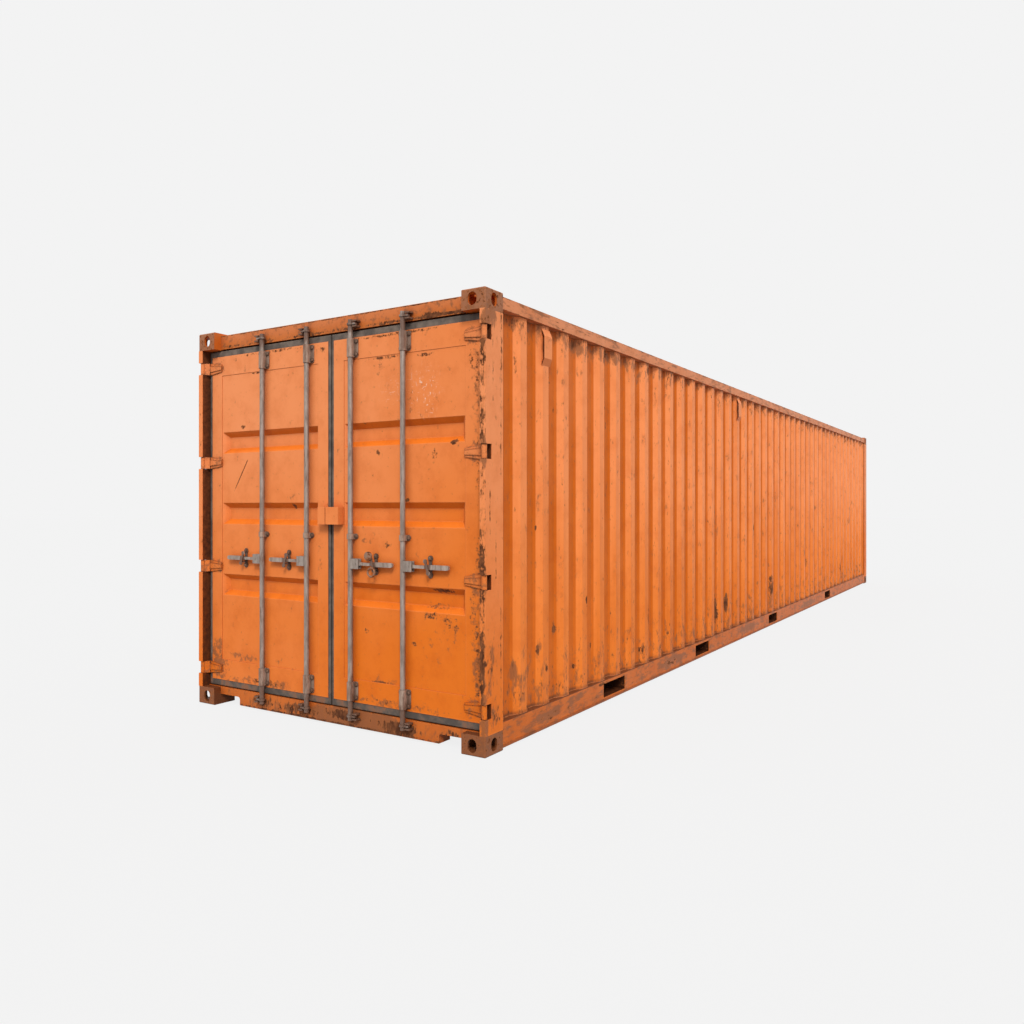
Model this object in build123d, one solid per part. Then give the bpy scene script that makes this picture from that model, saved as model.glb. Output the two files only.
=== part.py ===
from build123d import *
import math
import os

# A forty foot steel shipping container, in millimetres.
# X runs along the length with the doors at -X, Z is up, the origin is the bottom centre.
# Left and right are as seen by a person facing the doors: right is -Y.

# Overall size
LENGTH = 12192.0
WIDTH = 2438.0
HEIGHT = 2591.0

# Corner fittings, hollow castings with a long aperture below or above
FITTING_LENGTH = 178.0
FITTING_WIDTH = 162.0
FITTING_HEIGHT = 118.0
FITTING_WALL = 28.0
FITTING_SIDE = 16.0
FITTING_BACK = 10.0
FITTING_ROUND = 9.0
APERTURE_LENGTH = 124.0
APERTURE_WIDTH = 63.5
APERTURE_FROM_END = 103.5
APERTURE_FROM_SIDE = 89.5
SIDE_HOLE_HEIGHT = 76.0
SIDE_HOLE_WIDTH = 60.0
SIDE_HOLE_LEVEL = 57.0
SIDE_HOLE_FROM_END = 89.0

# Corner posts
POST_WALL = 6.0
POST_FACE = 38.0
POST_BACK = 49.0
FRONT_POST_END = 110.0
FRONT_POST_DEPTH = 55.0

# Door end frame, depths are measured inwards from the door end
HEADER_RECESS = 60.0
HEADER_BOTTOM = 114.0
HEADER_LIP = 29.0
SILL_RECESS = 58.0
SILL_BOTTOM = 14.0
SILL_TOP = 121.0
SILL_NOTCH_LENGTH = 200.0
SILL_NOTCH_TOP = 70.0
SILL_NOTCH_ROUND = 20.0
FRAME_BACK = 165.0

# Closed end frame
END_RAIL_RECESS = 8.0
END_RAIL_DEPTH = 62.0

# Side rails
ROOF_DROP = 20.0
TOP_RAIL_HEIGHT = 70.0
TOP_RAIL_WIDTH = 60.0
TOP_RAIL_RECESS = 6.0
TOP_RAIL_WALL = 4.0
BOTTOM_RAIL_TOP = 158.0
BOTTOM_RAIL_RECESS = 10.0
BOTTOM_RAIL_WALL = 6.0
BOTTOM_RAIL_FLANGE = 52.0
BOTTOM_RAIL_FOOT = 36.0
BOTTOM_RAIL_LIP = 6.0
BOTTOM_RAIL_LIP_HEIGHT = 14.0
RAIL_PLATE_LENGTH = 142.0
RAIL_PLATE = 2.0

# Corrugated walls
SHEET = 2.0
WALL_RECESS = 20.0
WALL_DEPTH = 36.0
WALL_FLANGE = 27.0
WALL_VALLEY = 66.0
WALL_SLOPE = 64.0
WALL_PITCH = 262.0
END_WALL_RECESS = 12.0
END_WALL_DEPTH = 40.0
END_WALL_FLANGE = 30.0
END_WALL_VALLEY = 100.0
END_WALL_SLOPE = 20.0
END_WALL_PITCH = 250.0

# Roof with shallow pressed pans across it
ROOF_EDGE = 30.0
ROOF_PAN_DEPTH = 18.0
ROOF_PAN_WIDTH = 118.0
ROOF_PAN_PITCH = 209.0
ROOF_PAN_END = 120.0
ROOF_PAN_SLOPE = 45.0

# Base: floor, cross members and fork pockets
FLOOR_THICKNESS = 28.0
FLOOR_TOP = 170.0
MEMBER_BOTTOM = 30.0
MEMBER_WIDTH = 45.0
MEMBER_WALL = 5.0
MEMBER_PITCH = 300.0
POCKET_CENTRES = (1672.0, 3537.0, 5943.0, 8927.0)
POCKET_WIDTH = 360.0
POCKET_BOTTOM = 38.0
POCKET_TOP = 136.0
POCKET_WALL = 6.0
POCKET_STRAP = 260.0

# Ventilator hoods on the side walls
VENT_CENTRES = (706.0, 4765.0)
VENT_WIDTH = 96.0
VENT_DROP = 116.0
VENT_HEIGHT = 224.0
VENT_STANDOFF = 18.0
VENT_TAPER = 44.0
VENT_PLATE = 3.0

# Door leaves
DOOR_RECESS = 60.0
DOOR_THICKNESS = 50.0
DOOR_STOP = 117.0
DOOR_BOTTOM = 170.0
DOOR_TOP_GAP = 164.0
DOOR_SIDE_GAP = 72.0
DOOR_CENTRE_GAP = 25.0
STILE_OUTER = 102.0
STILE_INNER = 86.0
RAIL_TOP = 133.0
RAIL_BOTTOM = 143.0
PANEL_STEP = 3.0
PAN_LEVELS = (0.296, 0.515, 0.7325)
PAN_HEIGHT = 148.0
PAN_DEPTH = 36.0
PAN_SLOPE = 45.0
PAN_MARGIN = 6.0
GASKET_SIDE = 43.0
GASKET_LOW = 126.0
GASKET_TOP_GAP = 123.0
GASKET_CENTRE = 5.0
GASKET_FRONT = 63.0
GASKET_DEPTH = 29.0
GASKET_ROUND = 7.0

# Door hinges, set in notches of the door posts
PIN_INSET = 20.0
PIN_RADIUS = 9.0
KNUCKLE_RADIUS = 15.0
KNUCKLE_PLAY = 0.4
HINGE_HEIGHT = 80.0
HINGE_PLAY = 2.0
HINGE_END = 80.0
HINGE_SPREAD = (0.0, 0.34, 0.685, 1.0)
NOTCH_DEPTH = 62.0
LUG_THICKNESS = 12.0
BLADE_THICKNESS = 12.0
BLADE_SHEET = 7.0
BLADE_RIB = 0.5
BLADE_REACH = 158.0
BLADE_TIP = 50.0
BLADE_STRAP = 20.0

# Lock bars with cams, and the keepers that take the cams
BAR_OFFSETS = (607.0, 190.0)
BAR_DEPTH = 34.0
BAR_RADIUS = 15.5
BAR_BOTTOM = 61.0
BAR_TOP_GAP = 57.0
CAM_REACH = 46.0
CAM_HALF = 11.0
CAM_THICKNESS = 12.0
CAM_LEVEL = 28.0
CAM_COLLAR = 22.0
KEEPER_NEAR = 25.0
KEEPER_FAR = 60.0
KEEPER_FRONT = 20.0
KEEPER_GAP = 6.0
KEEPER_PRONG = 9.0

# Brackets, guides, handles and catches of the lock gear
BRACKET_WIDTH = 86.0
BRACKET_HEIGHT = 115.0
BRACKET_PLATE = 5.0
BRACKET_COVER = 5.5
BRACKET_BORE = 16.0
BRACKET_CLIP = 7.0
GUIDE_LEVEL = 1196.0
GUIDE_HEIGHT = 34.0
GUIDE_WIDTH = 78.0
GUIDE_CLIP = 10.0
HANDLE_LEVEL = 1030.0
HANDLE_PIN = 52.0
HANDLE_PIN_RADIUS = 6.0
HANDLE_REACH = 340.0
HANDLE_HALF = 14.0
HANDLE_NECK = 9.0
HANDLE_THICKNESS = 16.0
HANDLE_PLAY = 0.4
HUB_REACH = 76.0
HUB_HEIGHT = 62.0
HUB_PLATE = 5.0
HUB_GAP = 2.0
CATCH_DISTANCE = 187.0
CATCH_EYE_SPREAD = 48.0
CATCH_EYE = 18.0
CATCH_WAIST = 11.0
CATCH_PLATE = 5.0
CATCH_SHELF = 6.0
CATCH_SHELF_DROP = 20.0
STRAP_THICKNESS = 6.0
STRAP_HALF = 8.0
STRAP_RISE = 34.0
STRAP_LEAN = 22.0
STRAP_EYE = 13.0

# Padlock on the right inner handle
LOCK_RADIUS = 28.0
LOCK_THICKNESS = 12.0
LOCK_RISE = 50.0
LOCK_LEAN = 24.0
SHACKLE_RADIUS = 26.0
SHACKLE_WIRE = 6.0
SHACKLE_FLATS = 8
SHACKLE_DROP = 46.0

# Lock box in two halves, one welded to each door
LOCK_BOX_LEFT = 65.0
LOCK_BOX_RIGHT = 109.0
LOCK_BOX_GAP = 3.0
LOCK_BOX_BOTTOM = 1269.0
LOCK_BOX_TOP = 1378.0
LOCK_BOX_DEPTH = 52.0
LOCK_BOX_WALL = 5.0

# Working margin of a cut that runs past a face
PAST = 2.0

# Positions that follow from the sizes
DOOR_X = -LENGTH / 2
FRONT_X = LENGTH / 2
RIGHT_Y = -WIDTH / 2
HALF_WIDTH = WIDTH / 2
FITTING_TOP_Z = HEIGHT - FITTING_HEIGHT
HEADER_Z = HEIGHT - HEADER_BOTTOM
ROOF_Z = HEIGHT - ROOF_DROP
TOP_RAIL_Z = ROOF_Z - TOP_RAIL_HEIGHT
MEMBER_TOP = FLOOR_TOP - FLOOR_THICKNESS
RAIL_START = DOOR_X + FITTING_LENGTH
RAIL_STOP = FRONT_X - FITTING_LENGTH
RAIL_WEB_BACK = BOTTOM_RAIL_RECESS + BOTTOM_RAIL_WALL
DOOR_TOP = HEIGHT - DOOR_TOP_GAP
DOOR_FACE = DOOR_X + DOOR_RECESS
DOOR_BACK = DOOR_FACE + DOOR_THICKNESS
DOOR_OUTER = RIGHT_Y + DOOR_SIDE_GAP
DOOR_INNER = -DOOR_CENTRE_GAP
HINGE_LOW = DOOR_BOTTOM + HINGE_END
HINGE_HIGH = DOOR_TOP - HINGE_END
HINGE_LEVELS = [HINGE_LOW + share * (HINGE_HIGH - HINGE_LOW) for share in HINGE_SPREAD]
NOTCH_HALF = HINGE_HEIGHT / 2 + HINGE_PLAY
PIN_X = DOOR_X + PIN_INSET
PIN_Y = RIGHT_Y + PIN_INSET
BAR_X = DOOR_X + BAR_DEPTH
BAR_TOP = HEIGHT - BAR_TOP_GAP
POCKETS = [DOOR_X + centre for centre in POCKET_CENTRES]
VENT_TOP = HEIGHT - VENT_DROP
VENT_BOTTOM = VENT_TOP - VENT_HEIGHT

os.makedirs("parts", exist_ok=True)


def block(x0, x1, y0, y1, z0, z1):
    """A box given by its two corners."""
    centre = Pos((x0 + x1) / 2, (y0 + y1) / 2, (z0 + z1) / 2)
    return centre * Box(x1 - x0, y1 - y0, z1 - z0)


def upright(points, z0, z1):
    """An outline in plan, raised from z0 to z1."""
    return Pos(0, 0, z0) * extrude(Polygon(*points, align=None), z1 - z0, dir=(0, 0, 1))


def lengthwise(points, x0, x1):
    """An outline of y and z, drawn out along X."""
    face = Plane.YZ * Polygon(*points, align=None)
    return Pos(x0, 0, 0) * extrude(face, x1 - x0, dir=(1, 0, 0))


def crosswise(points, y0, y1):
    """An outline of x and z, drawn out along Y."""
    face = Plane.XZ * Polygon(*points, align=None)
    return Pos(0, y0, 0) * extrude(face, y1 - y0, dir=(0, 1, 0))


def rod_x(radius, x0, x1, y, z):
    """A round bar along X."""
    return Pos((x0 + x1) / 2, y, z) * Rot(0, 90, 0) * Cylinder(radius, x1 - x0)


def rod_z(radius, x, y, z0, z1):
    """A round bar along Z."""
    return Pos(x, y, (z0 + z1) / 2) * Cylinder(radius, z1 - z0)


def pressed_pan(width, length, depth, slope):
    """A tray below z = 0, width along X and length along Y, with flat sloping sides."""
    inset = depth * math.tan(math.radians(slope))
    half_width = width / 2
    half_length = length / 2
    across = [
        (-half_width, 0), (half_width, 0),
        (half_width - inset, -depth), (inset - half_width, -depth),
    ]
    along = [
        (-half_length, 0), (half_length, 0),
        (half_length - inset, -depth), (inset - half_length, -depth),
    ]
    return crosswise(across, -half_length, half_length) & lengthwise(along, -half_width, half_width)


def other_side(shape):
    """The mirror image on the other side of the container."""
    return mirror(shape, about=Plane.XZ)


def other_end(shape):
    """The mirror image at the other end of the container."""
    return mirror(shape, about=Plane.YZ)


def save(name, *shapes):
    """Write the solids of one node."""
    solids = [solid for shape in shapes for solid in shape.solids()]
    export_step(Compound(children=solids), "parts/" + name + ".step")


def wave(start, stop, flange, valley, slope, pitch):
    """Points of a corrugation: place along the wall, and 0 for outer or 1 for inner level."""
    span = stop - start - 2 * flange - valley - 2 * slope
    count = max(1, round(span / pitch))
    step = span / count
    points = [(start, 0)]
    for number in range(count + 1):
        foot = start + flange + number * step
        points.append((foot, 0))
        points.append((foot + slope, 1))
        points.append((foot + slope + valley, 1))
        points.append((foot + 2 * slope + valley, 0))
    points.append((stop, 0))
    return points


def spread(start, stop, pitch):
    """Evenly spaced places between two ends, about one pitch apart."""
    count = max(1, round((stop - start) / pitch))
    step = (stop - start) / count
    return [start + (number + 0.5) * step for number in range(count)]


# Corner fittings: one casting is cut, and its mirror images fill the other seven corners
def corner_fitting():
    body = block(
        DOOR_X, DOOR_X + FITTING_LENGTH,
        RIGHT_Y, RIGHT_Y + FITTING_WIDTH,
        0, FITTING_HEIGHT,
    )
    outer = []
    for edge in body.edges():
        middle = edge.center()
        at_end = abs(middle.X - DOOR_X) < PAST
        at_side = abs(middle.Y - RIGHT_Y) < PAST
        at_foot = abs(middle.Z) < PAST
        if at_end + at_side + at_foot == 2:
            outer.append(edge)
    body = fillet(outer, FITTING_ROUND)
    body -= block(
        DOOR_X + FITTING_SIDE, DOOR_X + FITTING_LENGTH - FITTING_BACK,
        RIGHT_Y + FITTING_SIDE, RIGHT_Y + FITTING_WIDTH - FITTING_BACK,
        FITTING_WALL, FITTING_HEIGHT - FITTING_BACK,
    )
    slot = extrude(SlotOverall(APERTURE_LENGTH, APERTURE_WIDTH), FITTING_WALL + PAST, dir=(0, 0, 1))
    body -= Pos(DOOR_X + APERTURE_FROM_END, RIGHT_Y + APERTURE_FROM_SIDE, -PAST / 2) * slot
    hole = SlotOverall(SIDE_HOLE_HEIGHT, SIDE_HOLE_WIDTH, rotation=90)
    end_hole = extrude(Plane.YZ * hole, FITTING_SIDE + PAST, dir=(1, 0, 0))
    body -= Pos(DOOR_X - PAST / 2, RIGHT_Y + APERTURE_FROM_SIDE, SIDE_HOLE_LEVEL) * end_hole
    side_hole = extrude(Plane.XZ * hole, FITTING_SIDE + PAST, dir=(0, 1, 0))
    body -= Pos(DOOR_X + SIDE_HOLE_FROM_END, RIGHT_Y - PAST / 2, SIDE_HOLE_LEVEL) * side_hole
    return body


near_fitting = corner_fitting()
bottom_fittings = [near_fitting, other_side(near_fitting)]
bottom_fittings += [other_end(fitting) for fitting in bottom_fittings]
middle_height = Plane.XY.offset(HEIGHT / 2)
top_fittings = [mirror(fitting, about=middle_height) for fitting in bottom_fittings]
save("corner_fittings_bottom", *bottom_fittings)
save("corner_fittings_top", *top_fittings)


# Door posts: folded hollow posts, notched at each hinge, with lugs and a pin in each notch
def post_outline(wall):
    front = DOOR_X + wall
    back = DOOR_X + FITTING_LENGTH - wall
    step = DOOR_X + DOOR_STOP + wall
    side = RIGHT_Y + wall
    return [
        (front, side), (back, side), (back, RIGHT_Y + POST_BACK - wall),
        (step, RIGHT_Y + POST_BACK - wall), (step, RIGHT_Y + POST_FACE - wall),
        (front, RIGHT_Y + POST_FACE - wall),
    ]


def door_post():
    post = upright(post_outline(0), FITTING_HEIGHT, FITTING_TOP_Z)
    post -= upright(post_outline(POST_WALL), FITTING_HEIGHT, FITTING_TOP_Z)
    lug_height = NOTCH_HALF + LUG_THICKNESS
    for level in HINGE_LEVELS:
        post += block(
            DOOR_X, DOOR_X + NOTCH_DEPTH + LUG_THICKNESS,
            RIGHT_Y, RIGHT_Y + POST_FACE,
            level - lug_height, level + lug_height,
        )
        post -= block(
            DOOR_X - PAST, DOOR_X + NOTCH_DEPTH,
            RIGHT_Y - PAST, RIGHT_Y + POST_FACE + PAST,
            level - NOTCH_HALF, level + NOTCH_HALF,
        )
        post += rod_z(PIN_RADIUS, PIN_X, PIN_Y, level - lug_height, level + lug_height)
    return post


right_post = door_post()
save("door_post_right", right_post)
save("door_post_left", other_side(right_post))


# Front posts: L shaped hollow posts at the closed end
def front_outline(wall):
    end = FRONT_X - wall
    back = FRONT_X - FITTING_LENGTH + wall
    step = FRONT_X - FRONT_POST_DEPTH + wall
    side = RIGHT_Y + wall
    return [
        (end, side), (back, side), (back, RIGHT_Y + POST_BACK - wall),
        (step, RIGHT_Y + POST_BACK - wall), (step, RIGHT_Y + FRONT_POST_END - wall),
        (end, RIGHT_Y + FRONT_POST_END - wall),
    ]


front_post = upright(front_outline(0), FITTING_HEIGHT, FITTING_TOP_Z)
front_post -= upright(front_outline(POST_WALL), FITTING_HEIGHT, FITTING_TOP_Z)
save("front_posts", front_post, other_side(front_post))


# Door header: a beam between the top fittings with a lip that stops the doors
between_fittings = HALF_WIDTH - FITTING_WIDTH
between_posts = HALF_WIDTH - POST_BACK
lip_bottom = HEADER_Z - HEADER_LIP
header = crosswise(
    [
        (DOOR_X + HEADER_RECESS, HEADER_Z), (DOOR_X + DOOR_STOP, HEADER_Z),
        (DOOR_X + DOOR_STOP, lip_bottom), (DOOR_X + FRAME_BACK, lip_bottom),
        (DOOR_X + FRAME_BACK, ROOF_Z), (DOOR_X + HEADER_RECESS, ROOF_Z),
    ],
    -between_fittings, between_fittings,
)
header += block(
    DOOR_X + DOOR_STOP, DOOR_X + FRAME_BACK,
    -between_posts, between_posts, lip_bottom, FITTING_TOP_Z,
)
save("door_header", header)


# Door sill: a stepped beam between the bottom fittings, cut away beside each of them
sill = crosswise(
    [
        (DOOR_X + SILL_RECESS, SILL_BOTTOM), (DOOR_X + FRAME_BACK, SILL_BOTTOM),
        (DOOR_X + FRAME_BACK, FLOOR_TOP), (DOOR_X + DOOR_STOP, FLOOR_TOP),
        (DOOR_X + DOOR_STOP, SILL_TOP), (DOOR_X + SILL_RECESS, SILL_TOP),
    ],
    -between_fittings, between_fittings,
)
sill += block(
    DOOR_X + SILL_RECESS, DOOR_X + DOOR_STOP,
    POST_FACE - HALF_WIDTH, HALF_WIDTH - POST_FACE, FITTING_HEIGHT, SILL_TOP,
)
sill += block(
    DOOR_X + DOOR_STOP, DOOR_X + FRAME_BACK,
    -between_posts, between_posts, FITTING_HEIGHT, FLOOR_TOP,
)
notch = block(
    DOOR_X + SILL_RECESS - PAST, DOOR_X + FRAME_BACK + PAST,
    -between_fittings - PAST, SILL_NOTCH_LENGTH - between_fittings,
    SILL_BOTTOM - PAST, SILL_NOTCH_TOP,
)
notch_edges = notch.edges().filter_by(Axis.X).group_by(Axis.Z)[-1]
notch = fillet(notch_edges.sort_by(Axis.Y)[-1:], SILL_NOTCH_ROUND)
sill -= notch
sill -= other_side(notch)
save("door_sill", sill)


# Closed end: header and sill rails, and the corrugated end wall between the posts
end_out = FRONT_X - END_RAIL_RECESS
end_in = end_out - END_RAIL_DEPTH
save("front_header", block(
    end_in, end_out, -between_fittings, between_fittings, FITTING_TOP_Z, ROOF_Z,
))
save("front_sill", block(
    end_in, end_out, -between_fittings, between_fittings, SILL_BOTTOM, FITTING_HEIGHT,
))
end_half = HALF_WIDTH - FRONT_POST_END
end_wave = wave(-end_half, end_half, END_WALL_FLANGE, END_WALL_VALLEY, END_WALL_SLOPE, END_WALL_PITCH)
end_face = FRONT_X - END_WALL_RECESS
end_points = [(end_face - level * END_WALL_DEPTH, y) for y, level in end_wave]
end_points += [(x - SHEET, y) for x, y in reversed(end_points)]
save("front_wall", upright(end_points, FITTING_HEIGHT, FITTING_TOP_Z))


# Top side rails: square tubes between the top fittings
rail_out = RIGHT_Y + TOP_RAIL_RECESS
rail_in = rail_out + TOP_RAIL_WIDTH
top_rail = block(RAIL_START, RAIL_STOP, rail_out, rail_in, TOP_RAIL_Z, ROOF_Z)
top_rail -= block(
    RAIL_START, RAIL_STOP,
    rail_out + TOP_RAIL_WALL, rail_in - TOP_RAIL_WALL,
    TOP_RAIL_Z + TOP_RAIL_WALL, ROOF_Z - TOP_RAIL_WALL,
)
save("top_side_rails", top_rail, other_side(top_rail))


# Bottom side rails: channels with a lip at the foot, cut through at the fork pockets
web_out = RIGHT_Y + BOTTOM_RAIL_RECESS
web_in = RIGHT_Y + RAIL_WEB_BACK
lip_top = SILL_BOTTOM + BOTTOM_RAIL_LIP_HEIGHT
flange_low = BOTTOM_RAIL_TOP - BOTTOM_RAIL_WALL
bottom_rail = lengthwise(
    [
        (web_out, BOTTOM_RAIL_TOP), (web_out + BOTTOM_RAIL_FLANGE, BOTTOM_RAIL_TOP),
        (web_out + BOTTOM_RAIL_FLANGE, flange_low), (web_in, flange_low),
        (web_in, lip_top), (web_out + BOTTOM_RAIL_FOOT, lip_top),
        (web_out + BOTTOM_RAIL_FOOT, SILL_BOTTOM), (web_out - BOTTOM_RAIL_LIP, SILL_BOTTOM),
        (web_out - BOTTOM_RAIL_LIP, lip_top), (web_out, lip_top),
    ],
    RAIL_START, RAIL_STOP,
)
for start, stop in (
    (RAIL_START, RAIL_START + RAIL_PLATE_LENGTH), (RAIL_STOP - RAIL_PLATE_LENGTH, RAIL_STOP),
):
    bottom_rail += block(start, stop, web_out - RAIL_PLATE, web_out, lip_top, flange_low)
for centre in POCKETS:
    bottom_rail -= block(
        centre - POCKET_WIDTH / 2, centre + POCKET_WIDTH / 2,
        web_out - PAST, web_in + PAST, POCKET_BOTTOM, POCKET_TOP,
    )
save("bottom_side_rail_right", bottom_rail)
save("bottom_side_rail_left", other_side(bottom_rail))


# Side walls: sheets with upright corrugations between the rails
side_wave = wave(RAIL_START, RAIL_STOP, WALL_FLANGE, WALL_VALLEY, WALL_SLOPE, WALL_PITCH)
wall_face = RIGHT_Y + WALL_RECESS
wall_points = [(x, wall_face + level * WALL_DEPTH) for x, level in side_wave]
wall_points += [(x, y + SHEET) for x, y in reversed(wall_points)]
side_wall = upright(wall_points, BOTTOM_RAIL_TOP, TOP_RAIL_Z)
save("side_wall_right", side_wall)
save("side_wall_left", other_side(side_wall))


# Ventilators: bent hoods over the crest of a corrugation that lies nearest to each place
crests = []
for foot, top in zip(side_wave[4:-4:4], side_wave[5:-4:4]):
    crests.append((foot[0] + top[0]) / 2)


def vent_hood(place):
    centre = min(crests, key=lambda crest: abs(crest - place))
    out = wall_face - VENT_STANDOFF
    hood = lengthwise(
        [
            (wall_face, VENT_BOTTOM), (out, VENT_BOTTOM + VENT_TAPER),
            (out, VENT_TOP - VENT_TAPER), (wall_face, VENT_TOP),
            (wall_face, VENT_TOP - VENT_TAPER / 2),
            (out + VENT_PLATE, VENT_TOP - VENT_TAPER - VENT_PLATE),
            (out + VENT_PLATE, VENT_BOTTOM + VENT_TAPER + VENT_PLATE),
            (wall_face, VENT_BOTTOM + VENT_TAPER / 2),
        ],
        centre - VENT_WIDTH / 2, centre + VENT_WIDTH / 2,
    )
    return hood


vents = [vent_hood(DOOR_X + place) for place in VENT_CENTRES]
save("ventilators", *vents, *[other_side(vent) for vent in vents])


# Roof: one sheet on the rails and headers, with pans pressed down across it
roof = block(
    RAIL_START, RAIL_STOP, ROOF_EDGE - HALF_WIDTH, HALF_WIDTH - ROOF_EDGE, ROOF_Z, ROOF_Z + SHEET,
)
roof += block(
    DOOR_X + HEADER_RECESS, FRONT_X - END_RAIL_RECESS,
    -between_fittings, between_fittings, ROOF_Z, ROOF_Z + SHEET,
)
pan_length = WIDTH - 2 * ROOF_PAN_END
roof_pan = pressed_pan(ROOF_PAN_WIDTH, pan_length, ROOF_PAN_DEPTH, ROOF_PAN_SLOPE)
places = spread(RAIL_START, RAIL_STOP, ROOF_PAN_PITCH)
roof += [Pos(place, 0, ROOF_Z) * roof_pan for place in places]
roof -= [Pos(place, 0, ROOF_Z + SHEET) * roof_pan for place in places]
save("roof", roof)


# Floor: plywood boards between the side rails
floor_half = HALF_WIDTH - BOTTOM_RAIL_RECESS - BOTTOM_RAIL_FLANGE
save("floor", block(
    DOOR_X + FRAME_BACK, end_in, -floor_half, floor_half, MEMBER_TOP, FLOOR_TOP,
))


# Cross members: channels under the floor, with plain plates beside each fork pocket
member_half = HALF_WIDTH - RAIL_WEB_BACK
pocket_half = POCKET_WIDTH / 2


def cross_member(x):
    low = MEMBER_BOTTOM + MEMBER_WALL
    high = MEMBER_TOP - MEMBER_WALL
    return crosswise(
        [
            (x, MEMBER_BOTTOM), (x + MEMBER_WIDTH, MEMBER_BOTTOM), (x + MEMBER_WIDTH, low),
            (x + MEMBER_WALL, low), (x + MEMBER_WALL, high), (x + MEMBER_WIDTH, high),
            (x + MEMBER_WIDTH, MEMBER_TOP), (x, MEMBER_TOP),
        ],
        -member_half, member_half,
    )


members = []
clear_of_pocket = pocket_half + POCKET_WALL + MEMBER_WIDTH
for place in spread(RAIL_START, RAIL_STOP, MEMBER_PITCH):
    if all(abs(place + MEMBER_WIDTH / 2 - centre) > clear_of_pocket for centre in POCKETS):
        members.append(cross_member(place))
for centre in POCKETS:
    for side in (-1, 1):
        plate = centre + side * (pocket_half + POCKET_WALL / 2)
        members.append(block(
            plate - POCKET_WALL / 2, plate + POCKET_WALL / 2,
            -member_half, member_half, MEMBER_BOTTOM, MEMBER_TOP,
        ))
save("cross_members", *members)


# Fork pocket plates: a roof over each pocket and a strap under each of its mouths
pocket_plates = []
for centre in POCKETS:
    start = centre - pocket_half
    stop = centre + pocket_half
    pocket_plates.append(block(start, stop, -member_half, member_half, POCKET_TOP, MEMBER_TOP))
    strap = block(
        start, stop, -member_half, POCKET_STRAP - member_half,
        POCKET_BOTTOM - POCKET_WALL, POCKET_BOTTOM,
    )
    pocket_plates += [strap, other_side(strap)]
save("fork_pocket_plates", *pocket_plates)


# Door leaf: stiles and rails welded into one frame
leaf = block(DOOR_FACE, DOOR_BACK, DOOR_OUTER, DOOR_INNER, DOOR_BOTTOM, DOOR_TOP)
panel_right = DOOR_OUTER + STILE_OUTER
panel_left = DOOR_INNER - STILE_INNER
panel_low = DOOR_BOTTOM + RAIL_BOTTOM
panel_high = DOOR_TOP - RAIL_TOP
door_frame = leaf - block(
    DOOR_FACE - PAST, DOOR_BACK + PAST, panel_right, panel_left, panel_low, panel_high,
)
save("right_door_frame", door_frame)
save("left_door_frame", other_side(door_frame))


# Door panel: a sheet let into the frame, with three pressed pans
panel_face = DOOR_FACE + PANEL_STEP
panel_width = panel_left - panel_right
panel_middle = (panel_left + panel_right) / 2
panel = block(panel_face, panel_face + SHEET, panel_right, panel_left, panel_low, panel_high)
pan_width = panel_width - 2 * PAN_MARGIN
door_pan = Rot(0, -90, 0) * pressed_pan(PAN_HEIGHT, pan_width, PAN_DEPTH, PAN_SLOPE)
pan_levels = [DOOR_BOTTOM + share * (DOOR_TOP - DOOR_BOTTOM) for share in PAN_LEVELS]
panel += [Pos(panel_face + SHEET, panel_middle, level) * door_pan for level in pan_levels]
panel -= [Pos(panel_face, panel_middle, level) * door_pan for level in pan_levels]
save("right_door_panel", panel)
save("left_door_panel", other_side(panel))


# Door gasket: a rubber strip all round the leaf
gasket_front = DOOR_X + GASKET_FRONT
gasket = block(
    gasket_front, gasket_front + GASKET_DEPTH,
    RIGHT_Y + GASKET_SIDE, -GASKET_CENTRE, GASKET_LOW, HEIGHT - GASKET_TOP_GAP,
)
gasket_edges = gasket.faces().sort_by(Axis.X)[0].edges()
gasket = fillet(gasket_edges, GASKET_ROUND)
gasket -= leaf
save("right_door_gasket", gasket)
save("left_door_gasket", other_side(gasket))


# Door hinges: a knuckle on the pin, a cranked strap and a blade on the stile
def hinge(level):
    low = level - HINGE_HEIGHT / 2
    high = level + HINGE_HEIGHT / 2
    blade_start = DOOR_FACE - DOOR_X + RIGHT_Y - BLADE_THICKNESS
    blade_stop = PIN_Y + BLADE_REACH
    tip = BLADE_TIP / 2
    outline = [
        (blade_start, -HINGE_HEIGHT / 2), (DOOR_OUTER, -HINGE_HEIGHT / 2), (blade_stop, -tip),
        (blade_stop, tip), (DOOR_OUTER, HINGE_HEIGHT / 2), (blade_start, HINGE_HEIGHT / 2),
    ]
    sheet = [(y, level + z) for y, z in outline]
    rib = [(y, level + BLADE_RIB * z) for y, z in outline]
    blade = lengthwise(sheet, DOOR_FACE - BLADE_SHEET, DOOR_FACE)
    blade += lengthwise(rib, DOOR_FACE - BLADE_THICKNESS, DOOR_FACE)
    reach = DOOR_FACE - PIN_X - BLADE_THICKNESS / 2
    lean = BLADE_STRAP / 2 / 2 ** 0.5
    strap = upright(
        [
            (PIN_X + lean, PIN_Y - lean), (PIN_X + reach + lean, PIN_Y + reach - lean),
            (PIN_X + reach - lean, PIN_Y + reach + lean), (PIN_X - lean, PIN_Y + lean),
        ],
        low, high,
    )
    strap -= block(
        DOOR_FACE, DOOR_BACK, RIGHT_Y, DOOR_INNER, low - PAST, high + PAST,
    )
    body = blade + strap + rod_z(KNUCKLE_RADIUS, PIN_X, PIN_Y, low, high)
    return body - rod_z(PIN_RADIUS + KNUCKLE_PLAY, PIN_X, PIN_Y, low - PAST, high + PAST)


hinges = [hinge(level) for level in HINGE_LEVELS]
save("right_door_hinges", *hinges)
save("left_door_hinges", *[other_side(piece) for piece in hinges])


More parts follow.
